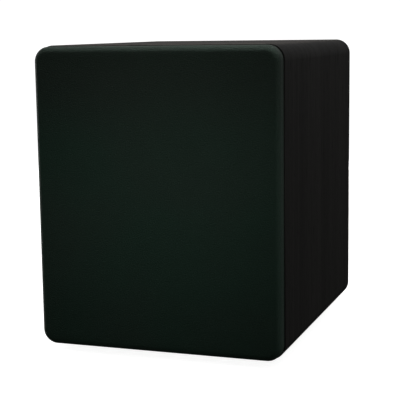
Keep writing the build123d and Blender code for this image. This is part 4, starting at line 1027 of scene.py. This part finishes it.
def stapleHem():
    row = Pattern("hemStaples", hemStaples)
    line = row.node("GeometryNodeCurvePrimitiveQuadrilateral", {"mode": "RECTANGLE"},
                    {"Width": row.given("Width"), "Height": row.given("Height")})
    line = row.node("GeometryNodeFilletCurve", {"mode": "POLY"},
                    {"Curve": line, "Radius": row.given("Corner"), "Count": row.given("Corner Points")})
    line = row.node("GeometryNodeResampleCurve", {"mode": "LENGTH"},
                    {"Curve": line, "Length": row.given("Spacing")})
    crown = row.node("GeometryNodeMeshCube", {},
                     {"Size": row.given("Crown"), "Vertices X": row.given("Crown Points")})
    across = row.split(row.node("GeometryNodeInputPosition", {}, {}))[0]
    crownLength = row.split(row.given("Crown"))[0]
    dip = row.given("Bend") * (across * 2 / crownLength) ** 2.0 * -1.0
    crown = row.node("GeometryNodeSetPosition", {}, {"Geometry": crown, "Offset": row.vector(z=dip)})
    stray = row.node("FunctionNodeRandomValue", {"data_type": "FLOAT"},
                     {2: row.given("Stray") * -1.0, 3: row.given("Stray"), "Seed": row.given("Seed")}, 1)
    twist = row.node("FunctionNodeEulerToRotation", {}, {"Euler": row.vector(z=stray)})
    turn = row.node("FunctionNodeRotateRotation", {"rotation_space": "LOCAL"},
                    {"Rotation": row.facing(), "Rotate By": twist})
    shapes = row.node("GeometryNodeInstanceOnPoints", {},
                      {"Points": line, "Instance": crown, "Rotation": turn})
    piece = row.make(shapes, (-math.pi / 2, 0, 0), finishes["bright_steel"])
    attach(piece, "grille")


stapleHem()
print("hem stapled")


# Damping lining: a quilted felt sleeve on the four walls, pinned down at its tufts

quilt = {
    "thickness": 0.006,
    "wallCorner": 0.0057,
    "innerCorner": 0.006,
    "sideSteps": 60,
    "cornerSteps": 6,
    "lengthSteps": 48,
    "roundEnd": 0.006,
    "tuftRows": 3,
    "tuftsAcross": 4,
    "tuftDepth": 0.42,
    "rim": 0.2,                                 # height of the rounded ends' edge, as a share
    "clearance": 0.0003,
    "sharpAngle": 60,
}


def roundedLoop(halfWidth, halfHeight, radius):
    # points round a rounded rectangle, with each one's share of the way along its side
    def cornerPoint(corner, angle):
        signX, signZ = ((1, 1), (-1, 1), (-1, -1), (1, -1))[corner % 4]
        turn = math.radians(angle)
        return (signX * (halfWidth - radius) + radius * math.cos(turn),
                signZ * (halfHeight - radius) + radius * math.sin(turn))

    loop = []
    for corner in range(4):
        for step in range(quilt["cornerSteps"] + 1):
            angle = 90 * corner + 90 * step / quilt["cornerSteps"]
            loop.append((*cornerPoint(corner, angle), 0.0))
        (x, z), (nextX, nextZ) = (cornerPoint(corner + more, 90 * (corner + 1)) for more in (0, 1))
        for step in range(1, quilt["sideSteps"]):
            share = step / quilt["sideSteps"]
            loop.append((x + (nextX - x) * share, z + (nextZ - z) * share, share))
    return loop


def padLining():
    low, high, middle = boxOf("damping_lining")
    thickness, gap = quilt["thickness"], quilt["clearance"]
    halfWidth, halfHeight = (high.x - low.x) / 2 - gap, (high.z - low.z) / 2 - gap
    wall = roundedLoop(halfWidth, halfHeight, quilt["wallCorner"])
    inner = roundedLoop(halfWidth - thickness, halfHeight - thickness, quilt["innerCorner"])
    length = high.y - low.y - 2 * gap
    section = [(step / quilt["lengthSteps"], False) for step in range(quilt["lengthSteps"] + 1)]
    section += [(share, True) for share, unused in reversed(section)]
    points = []
    for (wallX, wallZ, along), (innerX, innerZ, unused) in zip(wall, inner):
        for share, facesIn in section:
            rise = 0.0
            if facesIn:
                end = min(1.0, min(share, 1 - share) * length / quilt["roundEnd"])
                crown = math.sqrt(1 - (1 - end) ** 2)
                tufts = abs(math.sin(math.pi * along * quilt["tuftsAcross"]))
                tufts *= abs(math.sin(math.pi * share * quilt["tuftRows"]))
                rise = quilt["rim"] + (1 - quilt["rim"]) * crown
                rise *= 1 - quilt["tuftDepth"] * (1 - math.sqrt(tufts))
            points.append((middle.x + wallX + (innerX - wallX) * rise,
                           low.y + gap + length * share,
                           middle.z + wallZ + (innerZ - wallZ) * rise))
    around, across = len(wall), len(section)
    faces = []
    for index in range(around):
        first, second = index * across, (index + 1) % around * across
        for step in range(across):
            following = (step + 1) % across
            faces.append((first + step, first + following, second + following, second + step))
    piece = meshPiece("quiltedLining", points, faces, finishes["black_felt"])
    smooth(piece, quilt["sharpAngle"])
    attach(piece, "cabinet")
    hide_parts("damping_lining")


padLining()
print("lining quilted")


# Driver suspension: the surround and spider flex between the cone and the basket, ring by ring

suspension = {
    "rollSurround": {"node": "surround", "slot": "black_rubber", "landing": 0.006, "flexes": 0.022},
    "corrugatedSpider": {"node": "spider", "slot": "spider_cloth", "landing": 0.004, "flexes": 0.0322},
}


def flexSuspension(name, node, slot, landing, flexes):
    low, high, middle = boxOf(node)
    outer = (high.x - low.x) / 2 - landing
    piece = newObject(name, nodes[node].data.copy())
    piece.data.name = name
    start, end = (middle + Vector((reach, 0, 0)) for reach in (outer - flexes, outer))
    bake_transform(piece, "cone", "cabinet", start=tuple(start), end=tuple(end))
    shares = piece.data.attributes["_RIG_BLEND"].data
    for point, share in zip(piece.data.vertices, shares):   # both are rings, so from the axis
        radius = math.hypot(point.co.x - middle.x, point.co.z - middle.z)
        part = min(1.0, max(0.0, (radius - outer) / flexes + 1))
        share.value = part * part * (3 - 2 * part)
    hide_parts(node)


for ringName, ringSizes in suspension.items():
    flexSuspension(ringName, **ringSizes)
print("suspension made")


# Printed scales round the two knobs, and the plain marks beside the inputs

dialScale = {
    "Marks": 31,
    "Sweep": math.radians(300),
    "Radius": 0.0152,
    "Mark": (0.0003, 0.0014, 0.00008),
}
dialFigures = {
    "size": 0.0036,
    "radius": 0.0192,
    "thickness": 0.00004,
    "level": [str(loudness) for loudness in range(11)],
    "crossover": [str(hertz) for hertz in range(40, 161, 20)],
}
ink = {"dark": paint(0.42, 0.42, 0.41), "pale": paint(0.68, 0.68, 0.66), "mottle": 1400.0,
       "roughness": 0.6, "depth": 0.00002}


def whiteInk():
    skin = Finish("whiteInk", ink)
    mottle = skin.noise(ink["mottle"], 3.0, 0.7)
    return skin.surface(skin.mottled(skin.step(mottle, 0.35, 0.6)), 0.1 * mottle, mottle)


whitePrint = whiteInk()
plateFace = boxOf("amp_plate")[1].y


def printScale(name, middle):
    sizes = dict(dialScale, Place=(middle.x, plateFace, middle.z))
    ring = Pattern(name, sizes)
    half = ring.given("Sweep") / 2
    line = ring.node("GeometryNodeCurveArc", {"mode": "RADIUS"},
                     {"Resolution": ring.given("Marks"), "Radius": ring.given("Radius"),
                      "Start Angle": math.pi / 2 - half, "Sweep Angle": ring.given("Sweep")})
    mark = ring.node("GeometryNodeMeshCube", {}, {"Size": ring.given("Mark")})
    order = ring.node("GeometryNodeInputIndex", {}, {})
    long = ring.maths("COMPARE", ring.maths("MODULO", order, 3.0), 0.0)         # every third mark
    scale = ring.vector(1 + long * 0.5, 1 + long * 0.7, 1.0)
    marks = ring.node("GeometryNodeInstanceOnPoints", {},
                      {"Points": line, "Instance": mark, "Rotation": ring.facing(), "Scale": scale})
    piece = ring.make(marks, (math.pi / 2, 0, math.pi), whitePrint)
    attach(piece, "cabinet")


def printFigure(name, words, x, z, size):
    letter = bpy.data.curves.new(name, "FONT")
    letter.body = words
    letter.size = size
    letter.align_x = "CENTER"
    letter.align_y = "CENTER"
    letter.extrude = dialFigures["thickness"]
    holder = newObject(name, letter)
    view = bpy.context.evaluated_depsgraph_get()
    mesh = bpy.data.meshes.new_from_object(holder.evaluated_get(view))
    bpy.data.objects.remove(holder)
    behind = Matrix.Translation((x, plateFace, z)) @ Matrix.Rotation(math.pi, 4, "Z")
    mesh.transform(behind @ Matrix.Rotation(math.pi / 2, 4, "X"))
    mesh.materials.clear()
    mesh.materials.append(whitePrint)
    mesh.name = name
    return newObject(name, mesh)


def joinPieces(name, parts):
    joined = parts[0]
    with bpy.context.temp_override(active_object=joined, selected_editable_objects=parts):
        bpy.ops.object.join()
    joined.name = name
    joined.data.name = name
    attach(joined, "cabinet")
    return joined


def printDial(name):
    middle = boxOf(name + "_knob")[2]
    printScale(name + "Scale", middle)
    figures, letters = dialFigures[name], []
    for index, figure in enumerate(figures):
        angle = dialScale["Sweep"] * (index / (len(figures) - 1) - 0.5)
        x = middle.x - dialFigures["radius"] * math.sin(angle)
        z = middle.z + dialFigures["radius"] * math.cos(angle)
        letters.append(printFigure(f"{name}Figure{index}", figure, x, z, dialFigures["size"]))
    joinPieces(name + "Figures", letters)


# words, the node they stand by and the share along it, the node they clear, by how much, and size
plateSigns = [(sign, f"clip_lever_{number}", 0.5, "input_housing", 0.0035, 0.0050)
              for number, sign in enumerate("+\u2013+\u2013", 1)]
plateSigns += [
    ("0", "phase_lever", 1.15, "phase_lever", -0.0035, 0.0030),
    ("180", "phase_lever", -0.15, "phase_lever", -0.0035, 0.0030),
    ("I", "power_rocker", 0.5, "rocker_housing", 0.0040, 0.0040),
    ("O", "power_rocker", 0.5, "rocker_housing", -0.0040, 0.0040),
]


def printSigns():
    signs = []
    for index, (words, node, share, cleared, gap, size) in enumerate(plateSigns):
        low, high, middle = boxOf(node)
        x = low.x + (high.x - low.x) * share
        z = boxOf(cleared)[gap > 0].z + gap     # above its top, or below its foot
        signs.append(printFigure(f"plateSign{index}", words, x, z, size))
    joinPieces("plateSigns", signs)


printSigns()
printDial("level")
printDial("crossover")
print("dials printed")


lightStudio()
print("studio lit")
